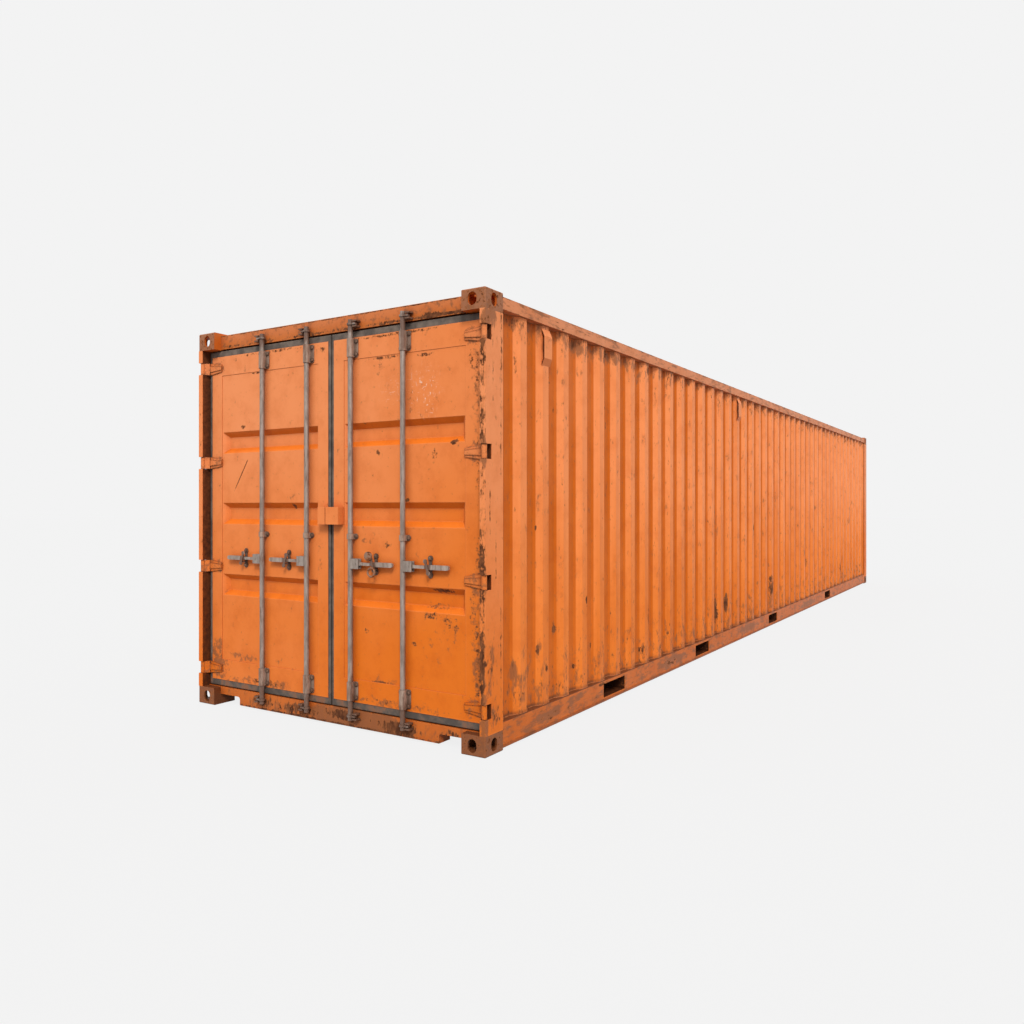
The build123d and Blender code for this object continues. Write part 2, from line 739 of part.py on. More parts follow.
# Brackets and guides: covers over the lock bars, on plates bolted to the doors
def bar_cover(bar_y, level, width, height, corner, seat):
    plate_front = seat - BRACKET_PLATE
    low = level - height / 2
    high = level + height / 2
    plate = block(plate_front, seat, bar_y - width / 2, bar_y + width / 2, low, high)
    plate = chamfer(plate.edges().filter_by(Axis.X), corner)
    outer = BRACKET_BORE + BRACKET_COVER
    cover = rod_z(outer, BAR_X, bar_y, low, high)
    cover += block(BAR_X, plate_front, bar_y - outer, bar_y + outer, low, high)
    cover -= block(plate_front, DOOR_BACK, bar_y - outer, bar_y + outer, low, high)
    return plate + cover - rod_z(BRACKET_BORE, BAR_X, bar_y, low - PAST, high + PAST)


def bar_covers(bar_y):
    top_level = DOOR_TOP - RAIL_TOP / 2
    low_level = DOOR_BOTTOM + RAIL_BOTTOM / 2
    return [
        bar_cover(bar_y, top_level, BRACKET_WIDTH, BRACKET_HEIGHT, BRACKET_CLIP, DOOR_FACE),
        bar_cover(bar_y, low_level, BRACKET_WIDTH, BRACKET_HEIGHT, BRACKET_CLIP, DOOR_FACE),
        bar_cover(bar_y, GUIDE_LEVEL, GUIDE_WIDTH, GUIDE_HEIGHT, GUIDE_CLIP, panel_face),
    ]


covers = [cover for offset in BAR_OFFSETS for cover in bar_covers(-offset)]
save("right_door_bar_brackets", *covers)
save("left_door_bar_brackets", *[other_side(cover) for cover in covers])


# Lock bars: round bars with a cam at each end and a forked hub for the handle
def lock_bar(bar_y):
    bar = rod_z(BAR_RADIUS, BAR_X, bar_y, BAR_BOTTOM, BAR_TOP)
    for level in (BAR_BOTTOM + CAM_LEVEL, BAR_TOP - CAM_LEVEL):
        low = level - CAM_THICKNESS / 2
        high = level + CAM_THICKNESS / 2
        bar += rod_z(CAM_COLLAR, BAR_X, bar_y, low, high)
        bar += block(BAR_X - CAM_HALF, BAR_X + CAM_HALF, bar_y - CAM_REACH, bar_y, low, high)
    hub_inner = HANDLE_THICKNESS / 2 + HUB_GAP
    hub_outer = hub_inner + HUB_PLATE
    hub_low = HANDLE_LEVEL - HUB_HEIGHT / 2
    hub_high = HANDLE_LEVEL + HUB_HEIGHT / 2
    for near, far in ((-hub_outer, -hub_inner), (hub_inner, hub_outer)):
        bar += block(BAR_X + near, BAR_X + far, bar_y - HUB_REACH, bar_y, hub_low, hub_high)
    return bar + rod_x(
        HANDLE_PIN_RADIUS, BAR_X - hub_outer - HUB_GAP, BAR_X + hub_outer,
        bar_y - HANDLE_PIN, HANDLE_LEVEL,
    )


outer_bar, inner_bar = [lock_bar(-offset) for offset in BAR_OFFSETS]
save("lock_bar_1", other_side(outer_bar))
save("lock_bar_2", other_side(inner_bar))
save("lock_bar_3", inner_bar)
save("lock_bar_4", outer_bar)


# Lock handles: flat bars on the hub pins, with the strap that goes over each catch
def lock_handle(bar_y):
    eye = bar_y - HANDLE_PIN
    neck = bar_y - HUB_REACH - HANDLE_HALF
    grip = bar_y - CATCH_DISTANCE + HANDLE_HALF
    end = bar_y - HANDLE_REACH
    back = BAR_X + HANDLE_THICKNESS / 2
    front = BAR_X - HANDLE_THICKNESS / 2
    half = [
        (eye, HANDLE_HALF), (neck, HANDLE_NECK), (grip, HANDLE_NECK),
        (grip - HANDLE_HALF, HANDLE_HALF), (end + HANDLE_HALF, HANDLE_HALF), (end, HANDLE_NECK),
    ]
    points = [(y, HANDLE_LEVEL + z) for y, z in half]
    points += [(y, HANDLE_LEVEL - z) for y, z in reversed(half)]
    handle = lengthwise(points, front, back)
    handle += rod_x(HANDLE_HALF, front, back, eye, HANDLE_LEVEL)
    catch = bar_y - CATCH_DISTANCE
    strap = lengthwise(
        [
            (catch + STRAP_HALF + STRAP_LEAN / 2, HANDLE_LEVEL + STRAP_RISE),
            (catch + STRAP_HALF - STRAP_LEAN / 2, HANDLE_LEVEL - STRAP_RISE),
            (catch - STRAP_HALF - STRAP_LEAN / 2, HANDLE_LEVEL - STRAP_RISE),
            (catch - STRAP_HALF + STRAP_LEAN / 2, HANDLE_LEVEL + STRAP_RISE),
        ],
        front - STRAP_THICKNESS, front,
    )
    for end_side in (-1, 1):
        strap += rod_x(
            STRAP_EYE, front - STRAP_THICKNESS, front,
            catch + end_side * STRAP_LEAN / 2, HANDLE_LEVEL + end_side * STRAP_RISE,
        )
    bore = HANDLE_PIN_RADIUS + HANDLE_PLAY
    return handle + strap - rod_x(bore, front - PAST, back + PAST, eye, HANDLE_LEVEL)


outer_handle, inner_handle = [lock_handle(-offset) for offset in BAR_OFFSETS]
save("lock_handle_1", other_side(outer_handle))
save("lock_handle_2", other_side(inner_handle))
save("lock_handle_3", inner_handle)
save("lock_handle_4", outer_handle)


# Handle catches: plates with two bolted eyes behind each handle, and a shelf under it
def handle_catch(bar_y):
    catch = bar_y - CATCH_DISTANCE
    front = panel_face - CATCH_PLATE
    low = HANDLE_LEVEL - CATCH_EYE_SPREAD
    high = HANDLE_LEVEL + CATCH_EYE_SPREAD
    plate = block(front, panel_face, catch - CATCH_WAIST, catch + CATCH_WAIST, low, high)
    for level in (low, high):
        plate += rod_x(CATCH_EYE, front, panel_face, catch, level)
    shelf_top = HANDLE_LEVEL - CATCH_SHELF_DROP
    return plate + block(
        BAR_X, front, catch - CATCH_WAIST, catch + CATCH_WAIST,
        shelf_top - CATCH_SHELF, shelf_top,
    )


catches = [handle_catch(-offset) for offset in BAR_OFFSETS]
save("right_door_handle_catches", *catches)
save("left_door_handle_catches", *[other_side(piece) for piece in catches])


# Padlock: a round body and a ring shackle that hang on the right inner handle
strap_front = BAR_X - HANDLE_THICKNESS / 2 - STRAP_THICKNESS
lock_y = -BAR_OFFSETS[1] - CATCH_DISTANCE
lock_body = rod_x(
    LOCK_RADIUS, strap_front - LOCK_THICKNESS, strap_front,
    lock_y + LOCK_LEAN, HANDLE_LEVEL + LOCK_RISE,
)
wire = RegularPolygon(
    SHACKLE_WIRE, SHACKLE_FLATS, major_radius=False, rotation=180 / SHACKLE_FLATS,
)
ring = revolve(Plane.XZ * Pos(SHACKLE_RADIUS, 0) * wire, Axis.Z)
shackle_x = strap_front - SHACKLE_WIRE
shackle = Pos(shackle_x, lock_y, HANDLE_LEVEL - SHACKLE_DROP) * Rot(0, 90, 0) * ring
save("padlock", lock_body, shackle)


# Keepers: two prongs above and below each cam, welded to the header and the sill
def keeper_prongs(bar_y, level, recess):
    prongs = []
    near = CAM_THICKNESS / 2 + KEEPER_GAP
    for low in (level - near - KEEPER_PRONG, level + near):
        prongs.append(block(
            DOOR_X + KEEPER_FRONT, DOOR_X + recess,
            bar_y - KEEPER_FAR, bar_y - KEEPER_NEAR, low, low + KEEPER_PRONG,
        ))
    return prongs


prongs = []
for offset in BAR_OFFSETS:
    prongs += keeper_prongs(-offset, BAR_BOTTOM + CAM_LEVEL, SILL_RECESS)
    prongs += keeper_prongs(-offset, BAR_TOP - CAM_LEVEL, HEADER_RECESS)
save("cam_keepers", *prongs, *[other_side(prong) for prong in prongs])


# Lock box: a hood over the meeting stiles, open below, in one half on each door
def box_half(near, far):
    front = DOOR_FACE - LOCK_BOX_DEPTH
    low, high = sorted((near, far))
    hood = block(front, DOOR_FACE, low, high, LOCK_BOX_BOTTOM, LOCK_BOX_TOP)
    return hood - block(
        front + LOCK_BOX_WALL, DOOR_FACE + PAST, low + LOCK_BOX_WALL, high - LOCK_BOX_WALL,
        LOCK_BOX_BOTTOM - PAST, LOCK_BOX_TOP - LOCK_BOX_WALL,
    )


save("left_lock_box", box_half(LOCK_BOX_GAP, LOCK_BOX_LEFT))
save("right_lock_box", box_half(-LOCK_BOX_GAP, -LOCK_BOX_RIGHT))
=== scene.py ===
import math
import bpy
import bmesh
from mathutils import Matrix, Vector


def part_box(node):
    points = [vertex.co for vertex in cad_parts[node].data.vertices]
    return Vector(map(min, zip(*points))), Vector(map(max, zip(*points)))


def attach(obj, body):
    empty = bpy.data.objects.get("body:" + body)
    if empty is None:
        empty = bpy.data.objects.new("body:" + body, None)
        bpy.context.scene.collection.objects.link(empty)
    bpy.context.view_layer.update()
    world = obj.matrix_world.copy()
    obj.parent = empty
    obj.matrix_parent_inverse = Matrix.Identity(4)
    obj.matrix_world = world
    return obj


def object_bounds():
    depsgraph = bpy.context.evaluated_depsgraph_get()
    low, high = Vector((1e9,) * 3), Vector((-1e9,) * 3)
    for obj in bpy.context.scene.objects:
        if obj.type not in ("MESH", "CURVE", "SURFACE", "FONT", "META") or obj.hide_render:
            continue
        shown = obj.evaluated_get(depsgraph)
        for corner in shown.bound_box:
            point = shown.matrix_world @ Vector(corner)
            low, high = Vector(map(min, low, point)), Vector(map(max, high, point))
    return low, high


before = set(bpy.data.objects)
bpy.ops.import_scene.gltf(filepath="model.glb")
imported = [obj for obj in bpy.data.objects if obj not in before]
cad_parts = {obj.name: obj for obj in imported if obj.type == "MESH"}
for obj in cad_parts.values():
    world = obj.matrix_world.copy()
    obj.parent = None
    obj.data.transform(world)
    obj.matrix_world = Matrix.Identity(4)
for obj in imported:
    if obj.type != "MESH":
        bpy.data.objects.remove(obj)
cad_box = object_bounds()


# Corner fittings: eight hollow steel castings, welded to the ends of the posts and rails.
# Twistlocks and hooks have knocked most of the orange off them, so they are brown with rust,
# while the paint inside the holes of the upper ones is still orange, and the lower ones are painted dark
# brown inside as shade.
def put(tree, kind, inputs, **settings):
    """One shader node, with its settings, and its sockets set or linked."""
    made = tree.nodes.new("ShaderNode" + kind)
    for label, value in settings.items():
        setattr(made, label, value)
    for label, value in inputs.items():
        if isinstance(value, bpy.types.NodeSocket):
            tree.links.new(value, made.inputs[label])
        else:
            made.inputs[label].default_value = value
    return made


def blotches(tree, place, scale, detail, roughness=0.6):
    """Uneven spots, from 0 to 1, that many to the metre."""
    sockets = {"Vector": place, "Scale": scale, "Detail": detail, "Roughness": roughness}
    return put(tree, "TexNoise", sockets).outputs["Fac"]


def between(tree, value, low, high):
    """0 at one level and 1 at another, with a soft step between them."""
    sockets = {"Value": value, "From Min": low, "From Max": high}
    return put(tree, "MapRange", sockets, interpolation_type="SMOOTHSTEP").outputs["Result"]


def sums(tree, kind, first, second, third=0.0, held=True):
    """One step of arithmetic, held between 0 and 1 where that is wanted."""
    sockets = {0: first, 1: second, 2: third}
    return put(tree, "Math", sockets, operation=kind, use_clamp=held).outputs[0]


def laid_over(tree, amount, under, over, blend="MIX"):
    """One colour over another, by a mask."""
    made = put(tree, "Mix", {0: amount, 6: under, 7: over}, data_type="RGBA", blend_type=blend)
    return made.outputs[2]


def new_effect(name, ins, outs):
    """An empty shader group with its named inputs and outputs."""
    group = bpy.data.node_groups.new(name, "ShaderNodeTree")
    for label, kind, value in ins:
        socket = group.interface.new_socket(label, in_out="INPUT", socket_type="NodeSocket" + kind)
        socket.default_value = value
    for label, kind in outs:
        group.interface.new_socket(label, in_out="OUTPUT", socket_type="NodeSocket" + kind)
    return group, group.nodes.new("NodeGroupInput").outputs, group.nodes.new("NodeGroupOutput").inputs


def effect(tree, group, **values):
    """A shader group placed in a material, with this material's values."""
    made = tree.nodes.new("ShaderNodeGroup")
    made.node_tree = group
    for label, value in values.items():
        socket = made.inputs[label.replace("_", " ")]
        if isinstance(value, bpy.types.NodeSocket):
            tree.links.new(value, socket)
        else:
            socket.default_value = value
    return made.outputs


def on_piece(tree):
    """A place on the piece, in metres, which moves with it."""
    return put(tree, "TexCoord", {}).outputs["Object"]


def axes(tree):
    """The place on the piece as X, Y and Z."""
    return put(tree, "SeparateXYZ", {0: on_piece(tree)}).outputs


edge_width = 0.010
# An edge mask, for wear along edges and for a painted highlight along them.
worn_and_highlit_edges, given, result = new_effect("worn_and_highlit_edges", [("width", "Float", edge_width)], [("edge", "Float")])
tree = worn_and_highlit_edges
rounded = put(tree, "Bevel", {"Radius": given["width"]}, samples=2).outputs["Normal"]
straight = put(tree, "NewGeometry", {}).outputs["Normal"]
alike = put(tree, "VectorMath", {0: rounded, 1: straight}, operation="DOT_PRODUCT").outputs["Value"]
tree.links.new(sums(tree, "SUBTRACT", 1.0, between(tree, alike, 0.86, 0.995)), result["edge"])

# Darkening in hollows and corners, by how little open air they reach: painted shade, along with grime.
hollow_grime, given, result = new_effect("hollow_grime", [("reach", "Float", 0.1)], [("hollow", "Float")])
tree = hollow_grime
open_air = put(tree, "AmbientOcclusion", {"Distance": given["reach"]}, samples=2).outputs["AO"]
tree.links.new(sums(tree, "SUBTRACT", 1.0, between(tree, open_air, 0.05, 0.95)), result["hollow"])

cloud_tint, corner_shade_and_dirt, underside_shade = (0.82, 0.70, 0.56, 1), (0.42, 0.22, 0.08, 1), (0.60, 0.36, 0.12, 1)
smudge_brown, rust_halo = (0.23, 0.085, 0.034, 1), (0.36, 0.11, 0.028, 1)
dark_rust, pale_rust = (0.070, 0.021, 0.007, 1), (0.22, 0.074, 0.026, 1)
# Weathered paint, which also darkens hollows and faces that look down and lightens edges: painted shade and
# highlight.
weathered_paint_and_shading, given, result = new_effect(
    "weathered_paint_and_shading",
    [
        ("fresh", "Color", (0.75, 0.17, 0.012, 1)), ("faded", "Color", (0.80, 0.27, 0.10, 1)),
        ("fading", "Float", 0.5), ("rust", "Float", 0.1), ("smudge", "Float", 0.0),
        ("edge", "Float", 0.0), ("wear", "Float", 0.4), ("hollow", "Float", 0.0), ("grime", "Float", 0.6),
        ("underside", "Float", 1.0), ("drawn out", "Vector", (1, 1, 1)),
    ],
    [("colour", "Color"), ("roughness", "Float"), ("relief", "Float")],
)
tree = weathered_paint_and_shading
place = on_piece(tree)
drawn = put(tree, "VectorMath", {0: place, 1: given["drawn out"]}, operation="MULTIPLY").outputs["Vector"]
broad = blotches(tree, place, 0.9, 3.0)
cloud = blotches(tree, place, 7.0, 5.0, 0.65)
stain = blotches(tree, drawn, 24.0, 4.0, 0.7)
flakes = blotches(tree, drawn, 42.0, 5.0, 0.7)
fading = sums(tree, "MULTIPLY_ADD", broad, 0.7, given["fading"], held=False)
body = laid_over(tree, sums(tree, "SUBTRACT", fading, 0.35), given["fresh"], given["faded"])
shade = sums(tree, "MULTIPLY", between(tree, cloud, 0.40, 0.75), 0.55)
body = laid_over(tree, shade, body, cloud_tint, "MULTIPLY")
# Edges are lightened towards the faded colour: paler worn paint and a painted highlight.
body = laid_over(tree, sums(tree, "MULTIPLY", given["edge"], 0.35), body, given["faded"])
# Hollows are darkened towards a dirty brown: painted shade, with grime.
hollow = sums(tree, "MULTIPLY", given["hollow"], given["grime"])
body = laid_over(tree, hollow, body, corner_shade_and_dirt, "MULTIPLY")
# Faces that look down are darkened: painted shade.
facing = put(tree, "NewGeometry", {}).outputs["True Normal"]
under = between(tree, put(tree, "SeparateXYZ", {0: facing}).outputs["Z"], -0.2, -0.65)
under = sums(tree, "MULTIPLY", under, sums(tree, "MULTIPLY", given["grime"], given["underside"]))
body = laid_over(tree, under, body, underside_shade, "MULTIPLY")
uneven = sums(tree, "MULTIPLY_ADD", stain, 1.1, sums(tree, "MULTIPLY_ADD", cloud, 0.3, -0.2, held=False))
smudge = sums(tree, "MULTIPLY_ADD", given["smudge"], 0.55, uneven)
smudge = sums(tree, "MULTIPLY", between(tree, smudge, 0.65, 0.87), 0.8)
body = laid_over(tree, smudge, body, smudge_brown)
eaten = sums(tree, "MULTIPLY_ADD", given["rust"], 0.54, flakes)
halo = sums(tree, "MULTIPLY", between(tree, eaten, 0.70, 0.79), 0.55)
body = laid_over(tree, halo, body, rust_halo)
flaked = sums(tree, "MULTIPLY", given["edge"], given["wear"])
flaked = sums(tree, "MULTIPLY_ADD", flakes, 0.6, flaked)
eaten = sums(tree, "MAXIMUM", between(tree, eaten, 0.79, 0.83), between(tree, flaked, 0.62, 0.68))
rust_tone = laid_over(tree, between(tree, stain, 0.35, 0.65), dark_rust, pale_rust)
tree.links.new(laid_over(tree, eaten, body, rust_tone), result["colour"])
sheen = sums(tree, "MULTIPLY_ADD", cloud, 0.25, 0.38)
tree.links.new(sums(tree, "MULTIPLY_ADD", eaten, 0.35, sheen), result["roughness"])
tree.links.new(sums(tree, "MULTIPLY_ADD", stain, 0.25, cloud, held=False), result["relief"])

local_damage, given, result = new_effect(
    "local_damage",
    [
        ("centre", "Vector", (0, 0, 0)), ("turn", "Vector", (0, 0, 0)),
        ("reach", "Vector", (0.1, 0.1, 0.1)), ("ragged", "Float", 0.5),
    ],
    [("patch", "Float")],
)
tree = local_damage
sockets = {
    "Vector": on_piece(tree), "Location": given["centre"],
    "Rotation": given["turn"], "Scale": given["reach"],
}
oval = put(tree, "Mapping", sockets, vector_type="TEXTURE").outputs["Vector"]
away = put(tree, "VectorMath", {0: oval}, operation="LENGTH").outputs["Value"]
away = sums(tree, "MULTIPLY_ADD", given["ragged"], 0.7, away, held=False)
tree.links.new(sums(tree, "SUBTRACT", 1.0, between(tree, away, 0.6, 1.35)), result["patch"])


def new_finish(name):
    """An empty material, its tree and its output."""
    material = bpy.data.materials.new(name)
    material.use_nodes = True
    material.node_tree.nodes.clear()
    return material, material.node_tree, material.node_tree.nodes.new("ShaderNodeOutputMaterial")


def surface(tree, out, colour, roughness, relief, metal=0.0, gloss=0.2, depth=0.003, strength=0.3):
    """The skin of a material: its colour, roughness and relief, and how metallic it is."""
    bump = put(tree, "Bump", {"Height": relief, "Distance": depth, "Strength": strength})
    skin = put(tree, "BsdfPrincipled", {
        "Base Color": colour, "Roughness": roughness, "Normal": bump.outputs["Normal"],
        "Metallic": metal, "Specular IOR Level": gloss,
    })
    tree.links.new(skin.outputs["BSDF"], out.inputs["Surface"])


def added_up(tree, amount, ragged, spots):
    """An amount, with more of it at each spot: centre, reach, strength and, where it has one, turn."""
    for centre, reach, strength, *turn in spots:
        turn = turn[0] if turn else (0.0, 0.0, 0.0)
        patch = effect(tree, local_damage, centre=centre, turn=turn, reach=reach, ragged=ragged)["patch"]
        amount = sums(tree, "MULTIPLY_ADD", patch, strength, amount, held=False)
    return amount


def worked_out(tree, value):
    """A value that is a plain number, or a mask made by a function."""
    return value(tree) if callable(value) else value


def painted(name, fresh, faded, paling_amount, rust=0.12, smudge=0.0, wear=0.0, grime=0.0, reach=0.08,
            drawn=(1, 1, 1), chips=(), smudges=(), cover=None, cover_tone=(0.060, 0.018, 0.007, 1),
            outside=1.0, underside=1.0):
    """The paint of one piece, with chips and smudges on its outside, and a cover where one lies, of dirt,
    chalk or painted shade.
    """
    material, tree, out = new_finish(name)
    ragged = blotches(tree, on_piece(tree), 28.0, 4.0, 0.7)
    outside = worked_out(tree, outside)
    amounts = []
    for amount, spots in ((rust, chips), (smudge, smudges)):
        amount = worked_out(tree, amount)
        if spots:
            marked = added_up(tree, 0.0, ragged, spots)
            amount = sums(tree, "MULTIPLY_ADD", marked, outside, amount, held=False)
        amounts.append(amount)
    coat = effect(
        tree, weathered_paint_and_shading, fresh=fresh, faded=faded, fading=worked_out(tree, paling_amount),
        rust=amounts[0], smudge=amounts[1],
        edge=effect(tree, worn_and_highlit_edges, width=edge_width)["edge"] if wear else 0.0, wear=wear,
        hollow=effect(tree, hollow_grime, reach=reach)["hollow"] if grime else 0.0, grime=grime,
        underside=underside, drawn_out=drawn,
    )
    colour = coat["colour"]
    if cover:
        hidden = sums(tree, "MULTIPLY_ADD", ragged, 0.5, 0.68)
        colour = laid_over(tree, sums(tree, "MULTIPLY", cover(tree), hidden), colour, cover_tone)
    surface(tree, out, colour, coat["roughness"], coat["relief"])
    return material


def dress(material, *names):
    """Give CAD nodes this finish."""
    for name in names:
        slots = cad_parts[name].data.materials
        slots.clear()
        slots.append(material)


box_low, box_high = cad_box
skin, skin_step = 0.002, 0.004
corner_depths, given, result = new_effect("corner_depths", [], [("mask", "Float")])
tree = corner_depths
place = axes(tree)
along = sums(tree, "ABSOLUTE", place["X"], 0.0, held=False)
across = sums(tree, "ABSOLUTE", place["Y"], 0.0, held=False)
behind_end = between(tree, along, box_high.x - skin, box_high.x - skin - skin_step)
behind_side = between(tree, across, box_high.y - skin, box_high.y - skin - skin_step)
tree.links.new(sums(tree, "MULTIPLY", behind_end, behind_side), result["mask"])


def behind_faces(tree):
    """1 on what lies behind the outer end and side faces of the corners."""
    return effect(tree, corner_depths)["mask"]


dress(painted(
    "top_fitting_paint", (0.30, 0.088, 0.026, 1), (0.36, 0.165, 0.092, 1), 0.55, rust=0.42,
    smudge=0.30, wear=0.30, cover=behind_faces, cover_tone=(0.55, 0.115, 0.010, 1),
), "corner_fittings_top")
# Inside the lower fittings the cover is a dark brown painted shade.
dress(painted(
    "bottom_fitting_paint", (0.21, 0.062, 0.021, 1), (0.27, 0.112, 0.056, 1), 0.40, rust=0.42,
    smudge=0.36, wear=0.32, cover=behind_faces, cover_tone=(0.13, 0.036, 0.010, 1),
), "corner_fittings_bottom")


# Door posts: steel plate folded into hollow uprights, notched for the hinges and welded to the fittings.
# Rust has eaten along the front edge of the right hand post, paint peels in streaks from its side,
# and the inner faces, which the doors shade, are painted dark brown as that shade, with some rust.
height_band, given, result = new_effect(
    "height_band",
    [("low", "Float", 0.0), ("high", "Float", 1.0), ("least", "Float", 0.0), ("most", "Float", 1.0)],
    [("mask", "Float")],
)
tree = height_band
up = between(tree, axes(tree)["Z"], given["low"], given["high"])
growth = sums(tree, "SUBTRACT", given["most"], given["least"], held=False)
tree.links.new(sums(tree, "MULTIPLY_ADD", up, growth, given["least"]), result["mask"])


def rising(low, high, least=0.0, most=1.0):
    """A mask that grows from one level of the container to another."""
    return lambda tree: effect(tree, height_band, low=low, high=high, least=least, most=most)["mask"]


orange = (0.74, 0.165, 0.010, 1)
salmon = (0.83, 0.275, 0.100, 1)
upright_flakes = (1, 1, 0.45)
door_end, right_side = box_low.x, box_low.y
hinge_levels = (0.250, 0.963, 1.686, 2.347)
post_chips = [
    ((door_end, right_side + 0.02, 1.3), (0.012, 0.04, 2.6), 0.22),
    ((door_end, -1.19, 2.28), (0.03, 0.05, 0.20), 0.30),
    ((door_end, -1.19, 1.85), (0.02, 0.04, 0.25), 0.18),
    ((door_end, -1.19, 1.02), (0.03, 0.05, 0.28), 0.32),
    ((door_end, -1.19, 0.50), (0.04, 0.05, 0.30), 0.34),
]
post_chips += [
    ((x, right_side, z), (wide, 0.03, high), strength)
    for x, z, wide, high, strength in (
        (-6.04, 0.50, 0.05, 0.26, 0.28), (-5.935, 2.30, 0.016, 0.35, 0.38), (-5.94, 1.75, 0.012, 0.30, 0.30),
        (-5.94, 0.60, 0.012, 0.40, 0.32), (-6.02, 2.20, 0.010, 0.35, 0.24), (-6.055, 2.40, 0.04, 0.10, 0.32),
        (-6.05, 1.35, 0.010, 0.30, 0.38), (-5.99, 1.10, 0.008, 0.22, 0.36), (-6.00, 0.22, 0.08, 0.12, 0.32),
    )
]
post_smudges = [
    ((-6.05, right_side, 2.42), (0.10, 0.05, 0.12), 0.7),
    ((-6.02, right_side, 0.45), (0.12, 0.05, 0.40), 0.28),
    ((-5.94, right_side, 2.20), (0.03, 0.05, 0.60), 0.22),
    ((door_end, -1.20, 1.3), (0.01, 0.05, 2.4), 0.20),
]
post_smudges += [
    ((door_end, right_side, level), (0.05, 0.06, 0.12), 0.52) for level in (0.150, *hinge_levels)
]
# The cover behind the outer faces is the painted shade of the inner faces.
dress(painted(
    "right_post_paint", orange, salmon, rising(0.2, 1.7), rust=0.18, wear=0.28, grime=0.7, reach=0.05,
    drawn=upright_flakes, chips=post_chips, smudges=post_smudges, cover=behind_faces,
), "door_post_right")
dress(painted(
    "left_post_paint", orange, salmon, rising(0.2, 1.7, 0.1, 0.8), rust=0.24, wear=0.28, grime=0.7,
    reach=0.05, drawn=upright_flakes, cover=behind_faces,
), "door_post_left")


# Header and sill: beams over and under the doors, pressed from thick plate and welded to posts and fittings.
# Water sits along the header's lower edge and flakes its paint, and boots and forks have scraped the sill.
header_front, header_low = door_end + 0.060, box_high.z - 0.114
header_knocks = (
    (0.95, 0.30), (0.62, 0.42), (0.20, 0.34), (-0.10, 0.30), (-0.45, 0.42), (-0.80, 0.60), (-1.02, 0.55),
)
header_chips = [
    ((header_front, y, header_low + 0.012), (0.03, 0.22, 0.018), strength) for y, strength in header_knocks
]
header_chips += [
    ((header_front, -0.80, 2.50), (0.03, 0.10, 0.03), 0.36),
    ((header_front, 0.0, 2.569), (0.03, 2.4, 0.008), 0.40),
]
dress(painted(
    "header_paint", (0.52, 0.125, 0.014, 1), (0.62, 0.185, 0.060, 1), rising(2.48, 2.56, 0.15, 0.75),
    rust=0.24, smudge=0.28, wear=0.25, grime=0.75, reach=0.06, chips=header_chips,
), "door_header")
sill_front = door_end + 0.058
sill_chips = [
    ((sill_front, -0.13, 0.075), (0.04, 0.20, 0.05), 0.60),
    ((sill_front, -0.56, 0.060), (0.04, 0.22, 0.06), 0.58),
    ((sill_front, 0.28, 0.060), (0.04, 0.25, 0.06), 0.42),
    ((sill_front, 0.62, 0.070), (0.04, 0.18, 0.05), 0.36),
    ((sill_front, 0.0, 0.020), (0.05, 1.6, 0.012), 0.45),
    ((sill_front, -0.95, 0.070), (0.04, 0.12, 0.05), 0.30),
]
sill_smudges = [
    ((sill_front, -0.22, 0.06), (0.06, 0.62, 0.12), 0.80),
    ((sill_front, 0.55, 0.05), (0.06, 0.45, 0.06), 0.30),
]
dress(painted(
    "sill_paint", (0.55, 0.125, 0.012, 1), (0.60, 0.18, 0.055, 1), 0.25, rust=0.28, smudge=0.16, wear=0.30,
    grime=0.75, reach=0.06, drawn=(1, 1, 0.4), chips=sill_chips, smudges=sill_smudges,
), "door_sill")


# Frame of the closed end: folded steel posts, a header tube and a sill tube, welded round the end wall.
# It is painted with the rest, and its edges are knocked bare by other containers.
dress(painted(
    "closed_end_paint", orange, salmon, rising(0.2, 1.9), rust=0.24, smudge=0.15, wear=0.28, grime=0.6,
    reach=0.06,
), "front_posts", "front_header", "front_sill")


# Side rails: a square tube along the head of each wall and a pressed channel along its foot.
# The upper rails are chalky and scuffed, and wet dirt lies on the ledge of the lower ones.
dress(painted(
    "top_rail_paint", (0.64, 0.170, 0.040, 1), (0.70, 0.290, 0.145, 1), 0.50,
    rust=rising(2.558, 2.570, 0.28, 0.48), smudge=0.33, wear=0.28, drawn=(0.25, 1, 1),
), "top_side_rails")
ledge = 0.158


def rail_ledge(tree):
    """1 on the upper ledge of the lower rails, for dirt, and weaker along their lower edge, for a painted
    shadow along the lip.
    """
    height = axes(tree)["Z"]
    # Along the lower edge: a painted shadow of the lip.
    low = sums(tree, "MULTIPLY", between(tree, height, 0.034, 0.026), 0.6)
    return sums(tree, "MAXIMUM", between(tree, height, ledge - 0.004, ledge - 0.001), low)


rail_face = right_side + 0.010
rail_chips = [
    ((-5.36, rail_face, 0.075), (0.16, 0.03, 0.035), 0.26),
    ((-5.85, rail_face, 0.10), (0.10, 0.03, 0.06), 0.18),
    ((-4.62, rail_face, 0.14), (0.10, 0.03, 0.02), 0.40),
    ((-3.35, rail_face, 0.09), (0.20, 0.03, 0.05), 0.24),
]
rail_smudges = [
    ((-5.38, rail_face, 0.08), (0.28, 0.04, 0.06), 0.30),
    ((-5.02, rail_face, 0.12), (0.16, 0.04, 0.04), 0.28),
    ((-4.40, rail_face, 0.09), (0.30, 0.04, 0.06), 0.30),
    ((-3.30, rail_face, 0.09), (0.45, 0.04, 0.07), 0.34),
    ((-1.20, rail_face, 0.10), (0.60, 0.04, 0.06), 0.30),
    ((1.60, rail_face, 0.08), (0.70, 0.04, 0.06), 0.30),
]
